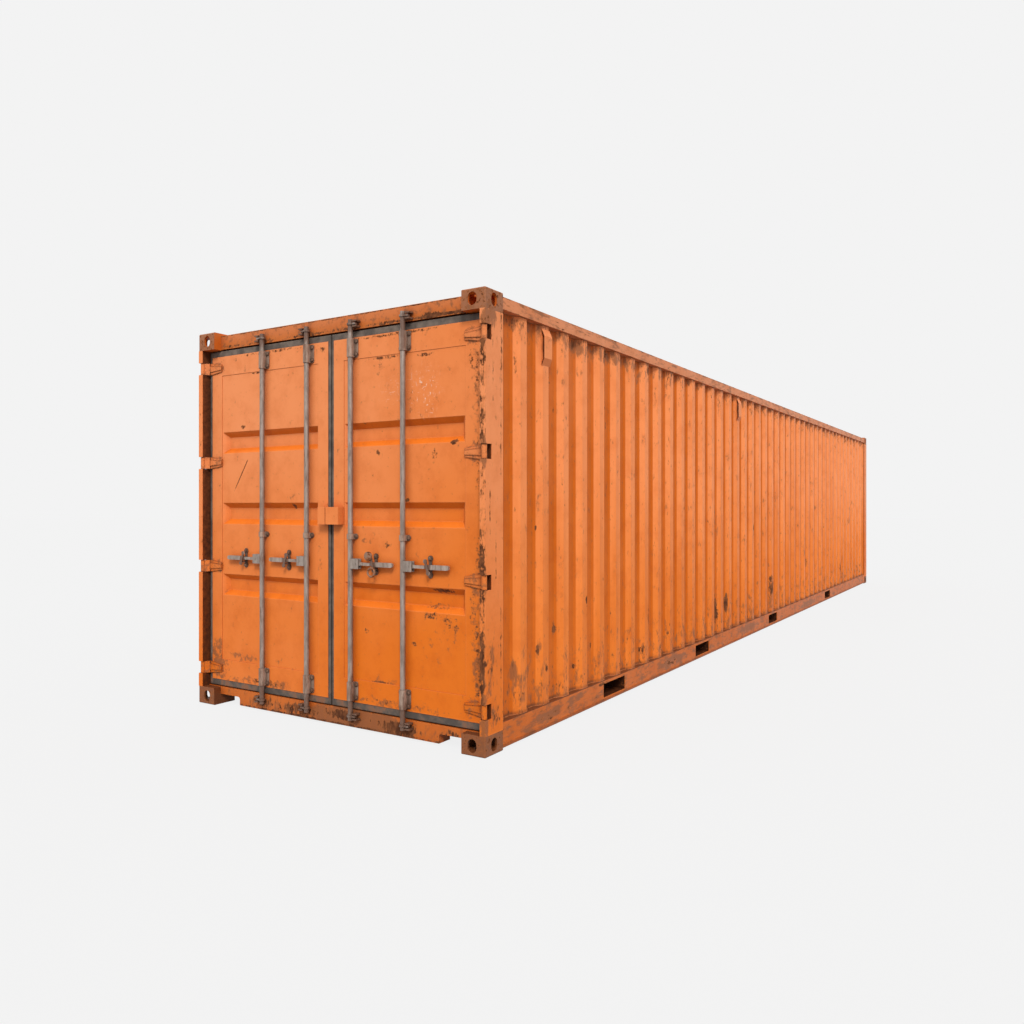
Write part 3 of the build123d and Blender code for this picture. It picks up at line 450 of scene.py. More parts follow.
dress(painted(
    "bottom_rail_paint", (0.57, 0.122, 0.007, 1), (0.62, 0.178, 0.048, 1), 0.20, rust=0.25, smudge=0.36,
    wear=0.25, drawn=(0.30, 1, 1), chips=rail_chips, smudges=rail_smudges,
    cover=rail_ledge, cover_tone=(0.13, 0.040, 0.014, 1),
), "bottom_side_rail_left", "bottom_side_rail_right")


# Walls: thin steel sheet pressed into upright folds, butt welded and run in between the rails.
# The crests are paler salmon, partly chalked and partly a painted sheen, and scraped to rust in places;
# the valleys keep a deeper orange, partly unfaded paint and partly painted shade.
crest_y, fold_depth = right_side + 0.020, 0.036


def on_wall(*spots):
    """Spots on the crests of the right hand wall, given by their places, widths, heights and strengths."""
    return [((x, crest_y, z), (wide, 0.10, high), strength) for x, z, wide, high, strength in spots]


wall_chips = on_wall(
    (-5.241, 0.595, 0.036, 0.08, 0.66), (-4.839, 0.747, 0.026, 0.055, 0.54),
    (-5.743, 0.43, 0.02, 0.12, 0.28),
    (-3.777, 0.51, 0.028, 0.15, 0.66), (-2.077, 0.39, 0.045, 0.22, 0.62), (-1.79, 0.42, 0.04, 0.16, 0.54),
    (-0.17, 0.46, 0.09, 0.18, 0.46), (3.828, 0.41, 0.06, 0.12, 0.54), (-3.777, 2.44, 0.05, 0.06, 0.40),
    (-4.001, 2.25, 0.02, 0.13, 0.60), (-5.732, 2.208, 0.022, 0.07, 0.36), (-4.99, 2.45, 0.06, 0.05, 0.32),
    (-5.743, 2.44, 0.04, 0.06, 0.22), (-5.241, 1.993, 0.022, 0.05, 0.50), (-4.514, 2.47, 0.08, 0.04, 0.38),
    (4.487, 1.065, 0.05, 0.06, 0.46), (-5.293, 2.164, 0.02, 0.03, 0.52), (-4.969, 0.315, 0.04, 0.03, 0.44),
    (-5.467, 0.502, 0.018, 0.05, 0.50), (-3.737, 2.10, 0.02, 0.10, 0.54), (-0.90, 1.12, 0.04, 0.09, 0.38),
    (1.62, 0.62, 0.06, 0.10, 0.40), (-5.765, 0.30, 0.03, 0.06, 0.20), (-5.393, 0.386, 0.025, 0.04, 0.42),
    (-4.719, 0.425, 0.02, 0.05, 0.42), (-3.895, 0.269, 0.05, 0.05, 0.38), (-5.914, 2.414, 0.02, 0.05, 0.20),
    (-4.48, 1.96, 0.016, 0.05, 0.48), (-5.48, 1.25, 0.014, 0.03, 0.50), (-2.90, 1.35, 0.022, 0.06, 0.44),
)
wall_smudges = on_wall(
    (-5.60, 0.42, 0.24, 0.22, 0.20), (-3.75, 1.10, 0.06, 0.45, 0.26), (-2.10, 1.30, 0.08, 0.55, 0.24),
    (-4.60, 2.44, 0.90, 0.07, 0.22), (-0.80, 1.50, 0.10, 0.60, 0.26), (1.50, 0.90, 0.12, 0.60, 0.26),
    (-5.743, 0.42, 0.05, 0.18, 0.26), (-4.99, 2.42, 0.10, 0.08, 0.20), (-3.90, 2.36, 0.10, 0.10, 0.24),
    (4.60, 1.20, 0.14, 0.30, 0.30), (-1.40, 1.10, 0.05, 0.30, 0.30), (3.20, 1.00, 0.12, 0.40, 0.24),
)
vent_low, vent_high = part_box("ventilators")
vent_half, vent_level = 0.048, (vent_low.z + vent_high.z) / 2
vent_reach = (vent_half * 0.95, 0.06, (vent_high.z - vent_low.z) * 0.36)
# Under each hood the wall is painted nearly black: painted shade for the hole and the hollow under the hood.
vent_hole_shade = [
    ((x, y, vent_level), vent_reach, 1.0)
    for x in (vent_low.x + vent_half, vent_high.x - vent_half) for y in (crest_y, -crest_y)
]


def stretched(tree, across, upward):
    """A place on the piece, drawn out in one direction, for streaks and grain."""
    scale = (across, across, upward)
    return put(tree, "Mapping", {"Vector": on_piece(tree), "Scale": scale}).outputs["Vector"]


# Valleys and crests: the deeper orange stands partly for painted shade, the paler crest colours partly for a
# painted sheen.
valley_orange = (0.565, 0.114, 0.002, 1)
low_crest_chalk_and_sheen, high_crest_chalk_and_sheen = (0.88, 0.236, 0.036, 1), (0.87, 0.268, 0.084, 1)
foot_dark, seam_shade, vent_shade = (0.17, 0.055, 0.020, 1), (0.09, 0.03, 0.015, 1), (0.030, 0.012, 0.006, 1)
valley_y, seam_start, seam_end = -crest_y - fold_depth, 5.885, 5.897
side_paint, tree, out = new_finish("side_wall_paint")
place = axes(tree)
sideways = sums(tree, "ABSOLUTE", place["Y"], 0.0, held=False)
proud = between(tree, sideways, valley_y + 0.008, valley_y + 0.012)
foot = between(tree, place["Z"], 0.60, ledge)
head = between(tree, place["Z"], 2.30, 2.49)
ends = sums(tree, "MAXIMUM", foot, head)
high = between(tree, place["Z"], 0.2, 1.9)
ragged = blotches(tree, on_piece(tree), 28.0, 4.0, 0.7)
streaks = blotches(tree, stretched(tree, 11.0, 0.5), 1.0, 5.0, 0.65)
bands = blotches(tree, stretched(tree, 4.0, 0.12), 1.0, 2.0)
bands = sums(tree, "ADD", streaks, bands, held=False)
crest_chalk_and_sheen = sums(tree, "ADD", bands, sums(tree, "MULTIPLY_ADD", high, 0.50, -0.55, held=False))
chipped = sums(tree, "MULTIPLY_ADD", ends, 0.14, sums(tree, "MULTIPLY", streaks, 0.38))
soiled = sums(tree, "MULTIPLY_ADD", ends, 0.24, sums(tree, "MULTIPLY", streaks, 0.22))
coat = effect(
    tree, weathered_paint_and_shading, fresh=valley_orange, faded=laid_over(tree, high, low_crest_chalk_and_sheen, high_crest_chalk_and_sheen),
    fading=sums(tree, "MULTIPLY_ADD", proud, crest_chalk_and_sheen, 0.05), rust=added_up(tree, chipped, ragged, wall_chips),
    smudge=added_up(tree, soiled, ragged, wall_smudges), wear=0.0, drawn_out=upright_flakes,
    hollow=effect(tree, hollow_grime, reach=0.05)["hollow"], grime=0.55,
)
# A dark band along the wall's foot, just above the ledge, darker in the valleys than on the crests.
foot_line = between(tree, place["Z"], ledge + 0.030, ledge + 0.008)
foot_line = sums(tree, "MULTIPLY", foot_line, sums(tree, "MULTIPLY_ADD", proud, -0.5, 0.9))
colour = laid_over(tree, foot_line, coat["colour"], foot_dark)
# A dark line at the far end of each wall, where it meets the post: painted shade in the gap.
seam = sums(tree, "MULTIPLY", between(tree, place["X"], seam_start, seam_end), 0.85)
colour = laid_over(tree, seam, colour, seam_shade)
# The wall under each ventilator hood, painted dark as shade.
colour = laid_over(tree, added_up(tree, 0.0, 0.3, vent_hole_shade), colour, vent_shade)
surface(tree, out, colour, coat["roughness"], coat["relief"])
dress(side_paint, "side_wall_left", "side_wall_right")
dress(painted(
    "end_wall_paint", orange, salmon, rising(0.3, 2.0, 0.2, 0.8), rust=0.24, smudge=0.12, grime=0.6,
    reach=0.06,
), "front_wall")


# Roof: sheets with shallow pans pressed across them, welded together and to the top rails.
# Sun has bleached it, and rust has started where water stands.
def standing_water(tree):
    """More rust in the places where water lies longest."""
    wet = between(tree, blotches(tree, on_piece(tree), 0.8, 3.0), 0.42, 0.66)
    return sums(tree, "MULTIPLY_ADD", wet, 0.20, 0.20)


dress(painted(
    "roof_paint", orange, (0.76, 0.31, 0.15, 1), 0.75, rust=standing_water, smudge=0.28, grime=0.6,
    reach=0.06,
), "roof")


# Ventilators: small bent hoods of sheet steel, riveted over holes in a crest of the wall.
# Their sides are open, and the faces there are painted dark as the shade behind the lip.
def hood_side_shade(tree):
    """1 on the faces of a hood that look along the wall, which are painted dark as shade."""
    facing = put(tree, "NewGeometry", {}).outputs["True Normal"]
    along = put(tree, "SeparateXYZ", {0: facing}).outputs["X"]
    return between(tree, sums(tree, "ABSOLUTE", along, 0.0), 0.7, 0.9)


dress(painted(
    "ventilator_paint", orange, salmon, 0.85, rust=0.2, smudge=0.1, wear=0.2, grime=1.0, reach=0.05,
    cover=hood_side_shade,
), "ventilators")


# Base: pressed steel cross members and the plates that box in the fork pockets, welded between the rails.
# Road dirt covers its paint, which is also painted nearly black as the shade inside the fork pockets,
# and the lowest plates are rubbed red by forks.
def rubbed_plates(tree):
    """1 on the lowest plates."""
    return between(tree, axes(tree)["Z"], 0.040, 0.030)


# The near black base stands partly for road dirt and partly for painted shade under the floor and in the
# pockets.
dress(painted(
    "base_paint", (0.050, 0.014, 0.005, 1), (0.070, 0.026, 0.012, 1), 0.4, rust=0.26, smudge=0.1,
    grime=0.8, reach=0.3, cover=rubbed_plates, cover_tone=(0.24, 0.060, 0.018, 1),
), "cross_members", "fork_pocket_plates")


# Floor: thick plywood boards laid along the container and screwed down to every cross member.
# The boards are oiled dark and scuffed pale by cargo, and the screws are let in flush.
board_width, board_length, board_gap = 0.578, 2.392, 0.003
pale_wood, oiled_wood = (0.30, 0.17, 0.08, 1), (0.16, 0.085, 0.04, 1)
scuffed_wood, gap_dark = (0.42, 0.30, 0.19, 1), (0.03, 0.018, 0.01, 1)
material, tree, out = new_finish("plywood_boards")
place = on_piece(tree)
long_grain = put(tree, "Mapping", {"Vector": place, "Scale": (2.0, 40.0, 40.0)}).outputs["Vector"]
grain = blotches(tree, long_grain, 1.0, 6.0)
boards = laid_over(tree, between(tree, grain, 0.3, 0.7), pale_wood, oiled_wood)
scuffs = between(tree, blotches(tree, place, 3.0, 6.0), 0.5, 0.75)
boards = laid_over(tree, sums(tree, "MULTIPLY", scuffs, 0.5), boards, scuffed_wood)
joints = put(tree, "TexBrick", {
    "Vector": place, "Scale": 1.0, "Mortar Size": board_gap, "Mortar Smooth": 0.2,
    "Brick Width": board_length, "Row Height": board_width,
}, offset=0.5)
boards = laid_over(tree, joints.outputs["Fac"], boards, gap_dark)
rough = sums(tree, "MULTIPLY_ADD", grain, 0.2, 0.6)
surface(tree, out, boards, rough, grain, depth=0.001)
dress(material, "floor")


def finished_piece(name, mesh, body, finish):
    """A mesh made here, as a piece that moves with a body."""
    bmesh.ops.recalc_face_normals(mesh, faces=mesh.faces)
    data = bpy.data.meshes.new(name)
    mesh.to_mesh(data)
    mesh.free()
    data.materials.append(finish)
    piece = bpy.data.objects.new(name, data)
    bpy.context.scene.collection.objects.link(piece)
    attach(piece, body)


def ring(mesh, at, outward, count, radius, lift, turn=0.0):
    """A ring of points round an axis, lifted along it."""
    side = outward.orthogonal().normalized()
    other = outward.cross(side)
    points = []
    for number in range(count):
        angle = turn + 2 * math.pi * number / count
        around = side * math.cos(angle) + other * math.sin(angle)
        points.append(mesh.verts.new(at + outward * lift + around * radius))
    return points


def turned(mesh, at, outward, count, profile, turn=0.0):
    """A small turned or hexagonal part: rings joined by faces and closed at the top."""
    rings = [ring(mesh, at, outward, count, radius, lift, turn) for radius, lift in profile]
    for low, high in zip(rings, rings[1:]):
        for number in range(count):
            after = (number + 1) % count
            mesh.faces.new((low[number], low[after], high[after], high[number]))
    mesh.faces.new(rings[-1])


floor_low, floor_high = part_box("floor")
screw_radius, screw_sides, screw_pitch, screw_columns = 0.006, 8, 0.300, 16
screw_head = [(screw_radius, 0.0), (screw_radius * 0.9, 0.0006), (screw_radius * 0.4, 0.0002)]
first_row, row_margin = floor_low.x + 0.16, 0.3
screw_paint = painted("screw_steel", (0.10, 0.08, 0.07, 1), (0.20, 0.16, 0.13, 1), 0.5, rust=0.4)
mesh = bmesh.new()
rows = int((floor_high.x - floor_low.x - row_margin) / screw_pitch)
for row in range(rows + 1):
    for column in range(screw_columns):
        across = (column + 0.5) / screw_columns * (floor_high.y - floor_low.y)
        at = Vector((first_row + row * screw_pitch, floor_low.y + across, floor_high.z))
        turned(mesh, at, Vector((0, 0, 1)), screw_sides, screw_head)
finished_piece("floor_screws", mesh, "box", screw_paint)


# Wall welds: beads of weld along every fold, where the wall sheets meet the rails above and below.
# They are painted over with the walls.
def fold_line(side, level):
    """The points of a wall's outer face at one level, fold by fold."""
    start, stop = (corner.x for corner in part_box("side_wall_right"))
    flange, valley, slope, pitch = 0.027, 0.066, 0.064, 0.262
    span = stop - start - 2 * flange - valley - 2 * slope
    count = round(span / pitch)
    line = [(start, 0)]
    for number in range(count + 1):
        foot = start + flange + number * span / count
        line += [(foot, 0), (foot + slope, 1), (foot + slope + valley, 1), (foot + 2 * slope + valley, 0)]
    line.append((stop, 0))
    return [Vector((x, side * (-crest_y - inner * fold_depth), level)) for x, inner in line]


def bead(mesh, line, radius):
    """A round bead along a line of points, mitred at its corners."""
    sides = 6
    last = None
    for number, at in enumerate(line):
        before = line[max(number - 1, 0)]
        after = line[min(number + 1, len(line) - 1)]
        points = ring(mesh, at, (after - before).normalized(), sides, radius, 0.0)
        if last:
            for corner in range(sides):
                follow = (corner + 1) % sides
                mesh.faces.new((last[corner], last[follow], points[follow], points[corner]))
        else:
            mesh.faces.new(points)
        last = points
    mesh.faces.new(last)


weld_radius, weld_bite = 0.0035, 0.001
wall_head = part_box("side_wall_right")[1].z
mesh = bmesh.new()
for side in (-1, 1):
    for level in (ledge + weld_bite, wall_head - weld_bite):
        bead(mesh, fold_line(side, level), weld_radius)
weld_paint = painted("weld_paint", (0.30, 0.085, 0.02, 1), (0.52, 0.18, 0.07, 1), 0.4, rust=0.40, smudge=0.3)
finished_piece("wall_welds", mesh, "box", weld_paint)


# Doors: a frame of pressed stiles and rails with a sheet let in, which has three pans pressed into it.
# The upper half has faded, most on the left, and knocks and wet have marked the right hand leaf.
door_face = door_end + 0.060
door_weather_and_shade, given, result = new_effect("door_weather_and_shade", [], [("fading", "Float"), ("outside", "Float")])
tree = door_weather_and_shade
place = axes(tree)
high = between(tree, place["Z"], 0.45, 2.2)
left = between(tree, place["Y"], -1.2, 1.1)
sunk_shade = between(tree, place["X"], door_face + 0.012, door_face + 0.024)
facing = put(tree, "NewGeometry", {}).outputs["True Normal"]
tilt = sums(tree, "ABSOLUTE", put(tree, "SeparateXYZ", {0: facing}).outputs["Z"], 0.0)
fading = sums(tree, "MULTIPLY_ADD", high, 0.62, -0.05, held=False)
fading = sums(tree, "MULTIPLY_ADD", left, 0.35, fading)
# The pan bottoms are kept deeper: painted shade in the recess.
fading = sums(tree, "MULTIPLY_ADD", sunk_shade, -0.15, fading, held=False)
# The pan slopes are kept unfaded: deeper orange, partly as painted shade.
fading = sums(tree, "MULTIPLY_ADD", between(tree, tilt, 0.15, 0.40), -0.75, fading, held=False)
tree.links.new(fading, result["fading"])
facing = put(tree, "TexCoord", {}).outputs["Normal"]
outside = between(tree, put(tree, "SeparateXYZ", {0: facing}).outputs["X"], 0.0, -0.3)
tree.links.new(outside, result["outside"])


def door_paling(tree):
    """Paler towards the top and towards the left hand leaf; deeper on the pan slopes and in the pan bottoms,
    partly as painted shade.
    """
    return effect(tree, door_weather_and_shade)["fading"]


def door_outside(tree):
    """1 on the faces of a door that look outwards when it is shut."""
    return effect(tree, door_weather_and_shade)["outside"]


def on_door(depth, *spots):
    """Spots on the face of the doors, given by their places, widths, heights and strengths."""
    return [((door_face, y, z), (depth, wide, high), strength) for y, z, wide, high, strength in spots]


panel_depth, chalk_depth, scratch_turn = 0.20, 0.05, (math.radians(33), 0.0, 0.0)
door_chips = on_door(
    panel_depth,
    (-0.88, 0.895, 0.14, 0.022, 0.56), (-0.93, 0.70, 0.11, 0.10, 0.30), (-0.80, 0.745, 0.10, 0.04, 0.40),
    (-0.42, 0.312, 0.16, 0.020, 0.52), (-0.96, 1.75, 0.045, 0.025, 0.66), (-0.82, 1.68, 0.03, 0.07, 0.36),
    (-0.39, 1.71, 0.025, 0.04, 0.42), (-0.46, 1.15, 0.04, 0.04, 0.42), (-0.45, 2.28, 0.16, 0.018, 0.50),
    (-0.75, 2.27, 0.10, 0.016, 0.42), (-0.30, 0.62, 0.03, 0.025, 0.54), (-0.67, 0.57, 0.03, 0.03, 0.46),
    (0.83, 1.93, 0.035, 0.02, 0.50), (0.35, 1.385, 0.03, 0.025, 0.56), (0.70, 2.285, 0.08, 0.012, 0.54),
    (-0.84, 0.80, 0.13, 0.03, 0.40), (-0.62, 1.42, 0.03, 0.02, 0.46), (-0.28, 1.00, 0.02, 0.03, 0.44),
)
door_chips.append(((door_face, 0.844, 1.605), (0.05, 0.006, 0.18), 0.90, scratch_turn))
door_smudges = on_door(
    panel_depth,
    (-0.85, 0.60, 0.20, 0.18, 0.20), (-0.30, 1.20, 0.10, 0.10, 0.22), (-0.90, 0.90, 0.15, 0.05, 0.30),
    (0.30, 1.45, 0.12, 0.10, 0.20), (0.85, 0.34, 0.22, 0.05, 0.24), (-0.45, 0.33, 0.35, 0.04, 0.26),
    (-0.45, 2.24, 0.22, 0.08, 0.22), (0.60, 0.36, 0.40, 0.06, 0.18), (-0.62, 1.95, 0.30, 0.12, 0.14),
)
chalk_marks, given, result = new_effect("chalk_marks", [("patch", "Float", 0.0)], [("marks", "Float")])
tree = chalk_marks
place = on_piece(tree)
marks = 0.0
for scale in ((9.0, 110.0, 16.0), (9.0, 16.0, 110.0)):
    lines = put(tree, "Mapping", {"Vector": place, "Scale": scale}).outputs["Vector"]
    marks = sums(tree, "MAXIMUM", marks, between(tree, blotches(tree, lines, 1.0, 4.0, 0.7), 0.59, 0.65))
broken = between(tree, blotches(tree, place, 38.0, 3.0), 0.44, 0.54)
marks = sums(tree, "MULTIPLY", marks, broken)
tree.links.new(sums(tree, "MULTIPLY", marks, given["patch"]), result["marks"])


def chalk_patch(tree):
    """Pale scratches across the upper part of the right hand leaf."""
    ragged = blotches(tree, on_piece(tree), 13.0, 3.0)
    spots = on_door(chalk_depth, (-0.75, 2.05, 0.17, 0.21, 1.0), (-0.50, 2.08, 0.14, 0.11, 0.6))
    patch = sums(tree, "MULTIPLY", added_up(tree, 0.0, ragged, spots), door_outside(tree))
    return effect(tree, chalk_marks, patch=patch)["marks"]


# On the panels the hollows round the bars and pans are darkened as painted shade, with grime, but faces that
# look down are not.
dress(painted(
    "door_panel_paint", orange, salmon, door_paling, rust=0.14, smudge=0.03, wear=0.10, grime=0.8, reach=0.05,
    chips=door_chips, smudges=door_smudges, cover=chalk_patch, cover_tone=(0.84, 0.60, 0.46, 1),
    outside=door_outside, underside=0.0,
), "left_door_panel", "right_door_panel")
frame_depth, frame_smudge_depth = 0.03, 0.05
frame_chips = on_door(
    frame_depth,
    (-1.13, 0.45, 0.04, 0.40, 0.34), (-1.13, 1.05, 0.035, 0.25, 0.36), (-1.13, 1.60, 0.03, 0.30, 0.30),
    (-1.13, 2.10, 0.035, 0.30, 0.34), (-1.08, 2.20, 0.03, 0.10, 0.26), (1.02, 0.34, 0.12, 0.12, 0.26),
    (0.60, 0.20, 0.30, 0.03, 0.34), (-0.55, 0.20, 0.50, 0.03, 0.28), (-0.55, 2.415, 0.50, 0.016, 0.40),
    (0.55, 2.415, 0.50, 0.016, 0.36), (-1.10, 0.80, 0.05, 0.20, 0.24), (0.08, 2.38, 0.06, 0.03, 0.40),
)
frame_smudges = on_door(
    frame_smudge_depth,
    (1.07, 0.34, 0.16, 0.22, 0.40), (-1.12, 0.60, 0.06, 0.60, 0.34), (0.65, 0.19, 0.55, 0.05, 0.42),
    (-0.55, 0.19, 0.55, 0.05, 0.36), (-1.12, 2.00, 0.06, 0.45, 0.30), (0.10, 1.10, 0.06, 0.20, 0.24),
    *[(side * 1.09, level, 0.09, 0.080, 0.50) for side in (-1, 1) for level in hinge_levels],
)
dress(painted(
    "door_frame_paint", orange, salmon, door_paling, rust=0.15, smudge=0.05, wear=0.22, grime=0.8, reach=0.05,
    chips=frame_chips, smudges=frame_smudges, outside=door_outside,
), "left_door_frame", "right_door_frame")


# Hinges: forged blades welded to the stiles, with knuckles that turn on pins in the post's lugs.
# Their paint is worn off along every edge.
dress(painted(
    "hinge_paint", (0.66, 0.150, 0.010, 1), (0.74, 0.225, 0.070, 1), rising(0.3, 1.9), rust=0.28,
    smudge=0.30, wear=0.42, grime=1.0, reach=0.05,
), "left_door_hinges", "right_door_hinges")


# Lock box: a hood of bent plate over the meeting stiles, in two halves, one welded to each door.
# It guards the place for a seal, and only its corners are knocked bare.
dress(painted(
    "lock_box_paint", orange, salmon, 0.45, rust=0.15, wear=0.22, grime=0.9, reach=0.04,
), "left_lock_box", "right_lock_box")


# Door gaskets: extruded rubber strip, riveted all round each leaf under a retaining strip.
# The rubber has gone grey with dust and brown at the foot, and is darker in the gaps, as painted shade with
# dirt.
dark_rubber, dusty_rubber = (0.085, 0.068, 0.058, 1), (0.19, 0.145, 0.115, 1)
splashed_rubber, gap_shade_and_dirt = (0.26, 0.095, 0.04, 1), (0.045, 0.028, 0.020, 1)
material, tree, out = new_finish("dusty_rubber")
dust = blotches(tree, on_piece(tree), 12.0, 5.0)
rubber = laid_over(tree, between(tree, dust, 0.35, 0.7), dark_rubber, dusty_rubber)
foot = sums(tree, "MULTIPLY", between(tree, axes(tree)["Z"], 0.35, 0.13), between(tree, dust, 0.45, 0.7))
rubber = laid_over(tree, sums(tree, "MULTIPLY", foot, 0.8), rubber, splashed_rubber)
hollow = effect(tree, hollow_grime, reach=0.03)["hollow"]
# Darker in the gaps: painted shade, with dirt.
rubber = laid_over(tree, sums(tree, "MULTIPLY", hollow, 0.7), rubber, gap_shade_and_dirt)
rough = sums(tree, "MULTIPLY_ADD", dust, 0.2, 0.6)
surface(tree, out, rubber, rough, dust, depth=0.001)
dress(material, "left_door_gasket", "right_door_gasket")


# Lock bars and handles: galvanised tube with forged cams, and flat handles on forked hubs.
# The zinc has gone dull, with brown stains where it rubs, most on the cams at the ends.
zinc_rust, zinc_shade_and_dirt = (0.12, 0.052, 0.028, 1), (0.06, 0.028, 0.016, 1)
old_zinc, given, result = new_effect(
    "old_zinc",
    [
        ("pale", "Color", (0.4, 0.3, 0.25, 1)), ("dark", "Color", (0.2, 0.15, 0.12, 1)),
        ("stain level", "Float", 0.5), ("end stain", "Float", 0.0), ("rubbed", "Float", 0.0),
        ("hollow", "Float", 0.0),
    ],
    [("colour", "Color"), ("roughness", "Float"), ("metal", "Float"), ("relief", "Float")],
)
tree = old_zinc
place = stretched(tree, 1.0, 0.22)
spangle = blotches(tree, place, 46.0, 4.0, 0.7)
stain = blotches(tree, place, 16.0, 6.0, 0.7)
height = axes(tree)["Z"]
ends = sums(tree, "MAXIMUM", between(tree, height, 2.40, 2.47), between(tree, height, 0.30, 0.14))
stain = sums(tree, "MULTIPLY_ADD", ends, given["end stain"], stain)
stain = sums(tree, "ADD", stain, given["rubbed"], held=False)
colour = laid_over(tree, between(tree, spangle, 0.3, 0.7), given["dark"], given["pale"])
all_rust = sums(tree, "ADD", given["stain level"], 0.14, held=False)
rusty = between(tree, stain, given["stain level"], all_rust)
colour = laid_over(tree, sums(tree, "MULTIPLY", rusty, 0.85), colour, zinc_rust)
# Darker in the hollows: painted shade, with dirt.
colour = laid_over(tree, sums(tree, "MULTIPLY", given["hollow"], 0.7), colour, zinc_shade_and_dirt)
tree.links.new(colour, result["colour"])
tree.links.new(sums(tree, "MULTIPLY_ADD", spangle, 0.25, 0.38), result["roughness"])
tree.links.new(sums(tree, "MULTIPLY_ADD", rusty, -0.30, 0.40), result["metal"])
tree.links.new(spangle, result["relief"])


def zinc(name, pale, dark, stain_level, end_stain, rubbed=()):
    """Old galvanised steel, with more stain towards the ends of the doors and where it is rubbed."""
    material, tree, out = new_finish(name)
    coat = effect(
        tree, old_zinc, pale=pale, dark=dark, stain_level=stain_level, end_stain=end_stain,
        rubbed=added_up(tree, 0.0, 0.3, rubbed), hollow=effect(tree, hollow_grime, reach=0.02)["hollow"],
    )
    surface(
        tree, out, coat["colour"], coat["roughness"], coat["relief"], coat["metal"], gloss=0.5, depth=0.001,
    )
    return material


bar_places, catch_reach, catch_level = (0.607, 0.190), 0.187, 1.030
bar_zinc = zinc("bar_zinc", (0.385, 0.315, 0.270, 1), (0.215, 0.165, 0.135, 1), 0.55, 0.16)
dress(bar_zinc, *[f"lock_bar_{number}" for number in (1, 2, 3, 4)])
handle_rubs = [
    ((door_end, side * (bar + catch_reach), catch_level), (0.30, 0.032, 0.10), 0.30)
    for side in (1, -1) for bar in bar_places
]
handle_zinc = zinc("handle_zinc", (0.45, 0.36, 0.305, 1), (0.23, 0.165, 0.13, 1), 0.54, 0.0, handle_rubs)
dress(handle_zinc, *[f"lock_handle_{number}" for number in (1, 2, 3, 4)])


# Brackets, catches and keepers: pressed and forged pieces that hold the bars, the handles and the cams.
# They are bolted to the doors or welded to header and sill, and rust runs from them at the foot.
bracket_zinc = zinc("bracket_zinc", (0.42, 0.31, 0.245, 1), (0.25, 0.155, 0.11, 1), 0.53, 0.10)
dress(bracket_zinc, "left_door_bar_brackets", "right_door_bar_brackets")
catch_iron = zinc("catch_iron", (0.20, 0.125, 0.09, 1), (0.075, 0.042, 0.028, 1), 0.50, 0.0)
dress(catch_iron, "left_door_handle_catches", "right_door_handle_catches")
keeper_zinc = zinc("keeper_zinc", (0.30, 0.18, 0.12, 1), (0.15, 0.075, 0.045, 1), 0.45, 0.10)
dress(keeper_zinc, "cam_keepers")


# Bolts: hexagon heads on washers, four through each bracket and two through each guide and catch.
# They are plated steel, gone brown.
bolt_zinc = zinc("bolt_zinc", (0.24, 0.15, 0.105, 1), (0.10, 0.055, 0.035, 1), 0.48, 0.05)
bolt_across, bolt_height, bolt_turn = 0.019, 0.011, 0.3
washer, head = bolt_across * 0.72, bolt_across * 0.56
washer_shape = [(washer, 0.0), (washer, bolt_height * 0.2), (washer * 0.7, bolt_height * 0.25)]
head_shape = [(head, bolt_height * 0.2), (head, bolt_height * 0.82), (head * 0.75, bolt_height)]
bracket_face, guide_face = door_end + 0.055, door_end + 0.058
door_low, door_high = (corner.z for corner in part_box("left_door_frame"))
bracket_levels, guide_level = (door_low + 0.0715, door_high - 0.0665), 1.196
bracket_corners = [(y, z) for y in (-0.032, 0.032) for z in (-0.040, 0.040)]
guide_ends, catch_ends = (-0.029, 0.029), (-0.048, 0.048)
outward = Vector((-1, 0, 0))
for body, side in (("left_door", 1), ("right_door", -1)):
    places = []
    for bar in bar_places:
        for level in bracket_levels:
            places += [(bracket_face, side * bar + y, level + z) for y, z in bracket_corners]
        places += [(guide_face, side * bar + y, guide_level) for y in guide_ends]
        places += [(guide_face, side * (bar + catch_reach), catch_level + z) for z in catch_ends]
    mesh = bmesh.new()
    for place in places:
        turned(mesh, Vector(place), outward, 16, washer_shape)
        turned(mesh, Vector(place), outward, 6, head_shape, bolt_turn)
    finished_piece(body + "_bolts", mesh, body, bolt_zinc)


# Padlock: an old iron padlock with a bent ring, hung on the third handle to lock it to its catch.
# It was never painted and is rusty all over.
dress(painted(
    "padlock_rust", (0.20, 0.11, 0.07, 1), (0.30, 0.20, 0.145, 1), 0.5, rust=0.5, smudge=0.3, wear=0.2,
), "padlock")


# Ground, light and camera: a pale floor under an even sky, with a soft light from the front.
# Floor and sky run into each other without a line, as paper does in a photo studio.
ground_reach = 90.0
mesh = bpy.data.meshes.new("ground")
corners = [(-1, -1), (1, -1), (1, 1), (-1, 1)]
mesh.from_pydata([(ground_reach * x, ground_reach * y, 0) for x, y in corners], [], [(0, 1, 2, 3)])
ground = bpy.data.objects.new("ground", mesh)
bpy.context.scene.collection.objects.link(ground)


def seen_directly(tree):
    """1 for what the camera sees, straight or by a mirror or through glass."""
    path = put(tree, "LightPath", {}).outputs
    seen = sums(tree, "MAXIMUM", path["Is Camera Ray"], path["Is Glossy Ray"])
    return sums(tree, "MAXIMUM", seen, path["Is Transmission Ray"])


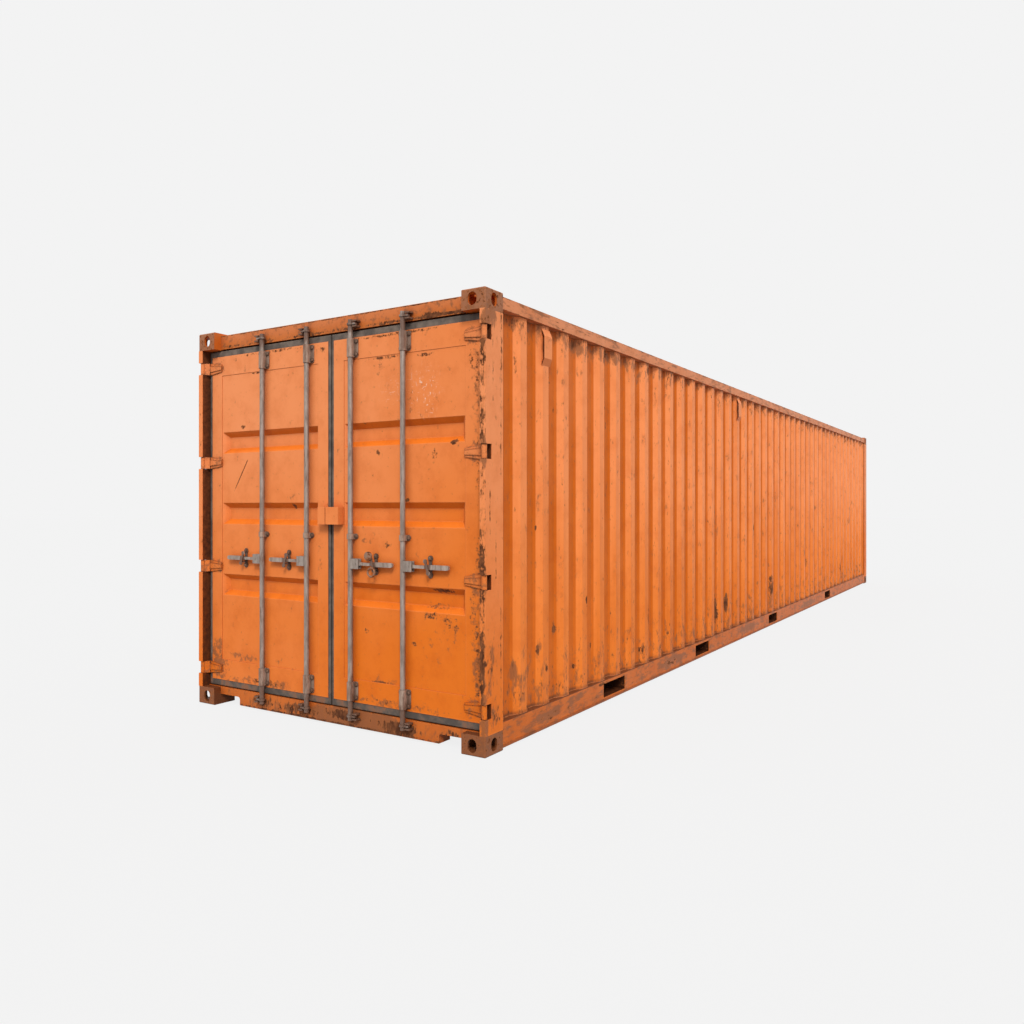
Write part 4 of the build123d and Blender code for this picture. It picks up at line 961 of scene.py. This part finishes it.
material, tree, out = new_finish("pale_ground")
matt = put(tree, "BsdfDiffuse", {"Color": (0.26, 0.26, 0.26, 1)})
plain = put(tree, "Emission", {"Color": (0.978, 0.978, 0.978, 1), "Strength": 1.0})
share = sums(tree, "MULTIPLY", seen_directly(tree), 0.86)
mixed = put(tree, "MixShader", {0: share, 1: matt.outputs[0], 2: plain.outputs[0]})
tree.links.new(mixed.outputs[0], out.inputs["Surface"])
mesh.materials.append(material)

world = bpy.data.worlds.new("even_sky")
world.use_nodes = True
tree = world.node_tree
tree.nodes.clear()
out = tree.nodes.new("ShaderNodeOutputWorld")
up = put(tree, "SeparateXYZ", {0: put(tree, "TexCoord", {}).outputs["Generated"]}).outputs["Z"]
sky_tone = laid_over(tree, between(tree, up, 0.0, 0.9), (0.66, 0.67, 0.68, 1), (1.0, 1.0, 1.0, 1))
sky = put(tree, "Background", {"Color": sky_tone, "Strength": 1.1})
pale = put(tree, "Background", {"Color": (0.896, 0.896, 0.896, 1), "Strength": 1.0})
mixed = put(tree, "MixShader", {0: seen_directly(tree), 1: sky.outputs[0], 2: pale.outputs[0]})
tree.links.new(mixed.outputs[0], out.inputs["Surface"])
bpy.context.scene.world = world

lamp = bpy.data.lights.new("soft_sun", "SUN")
lamp.energy = 2.2
lamp.angle = math.radians(16)
lamp.color = (1.0, 0.98, 0.95)
sun = bpy.data.objects.new("soft_sun", lamp)
sun.rotation_euler = Vector((0.60, 0.46, -0.65)).to_track_quat("-Z", "Y").to_euler()
bpy.context.scene.collection.objects.link(sun)

view = bpy.data.cameras.new("camera")
view.sensor_fit = "HORIZONTAL"
view.sensor_width = 36.0
view.lens = 29.03
view.shift_y = -0.0066
view.clip_end = 400.0
camera = bpy.data.objects.new("camera", view)
camera.location = (-9.839, -3.755, 1.389)
camera.rotation_euler = (math.radians(90), 0, 0.5632 - math.radians(90))
bpy.context.scene.collection.objects.link(camera)
bpy.context.scene.camera = camera
bpy.context.scene.view_settings.view_transform = "Standard"
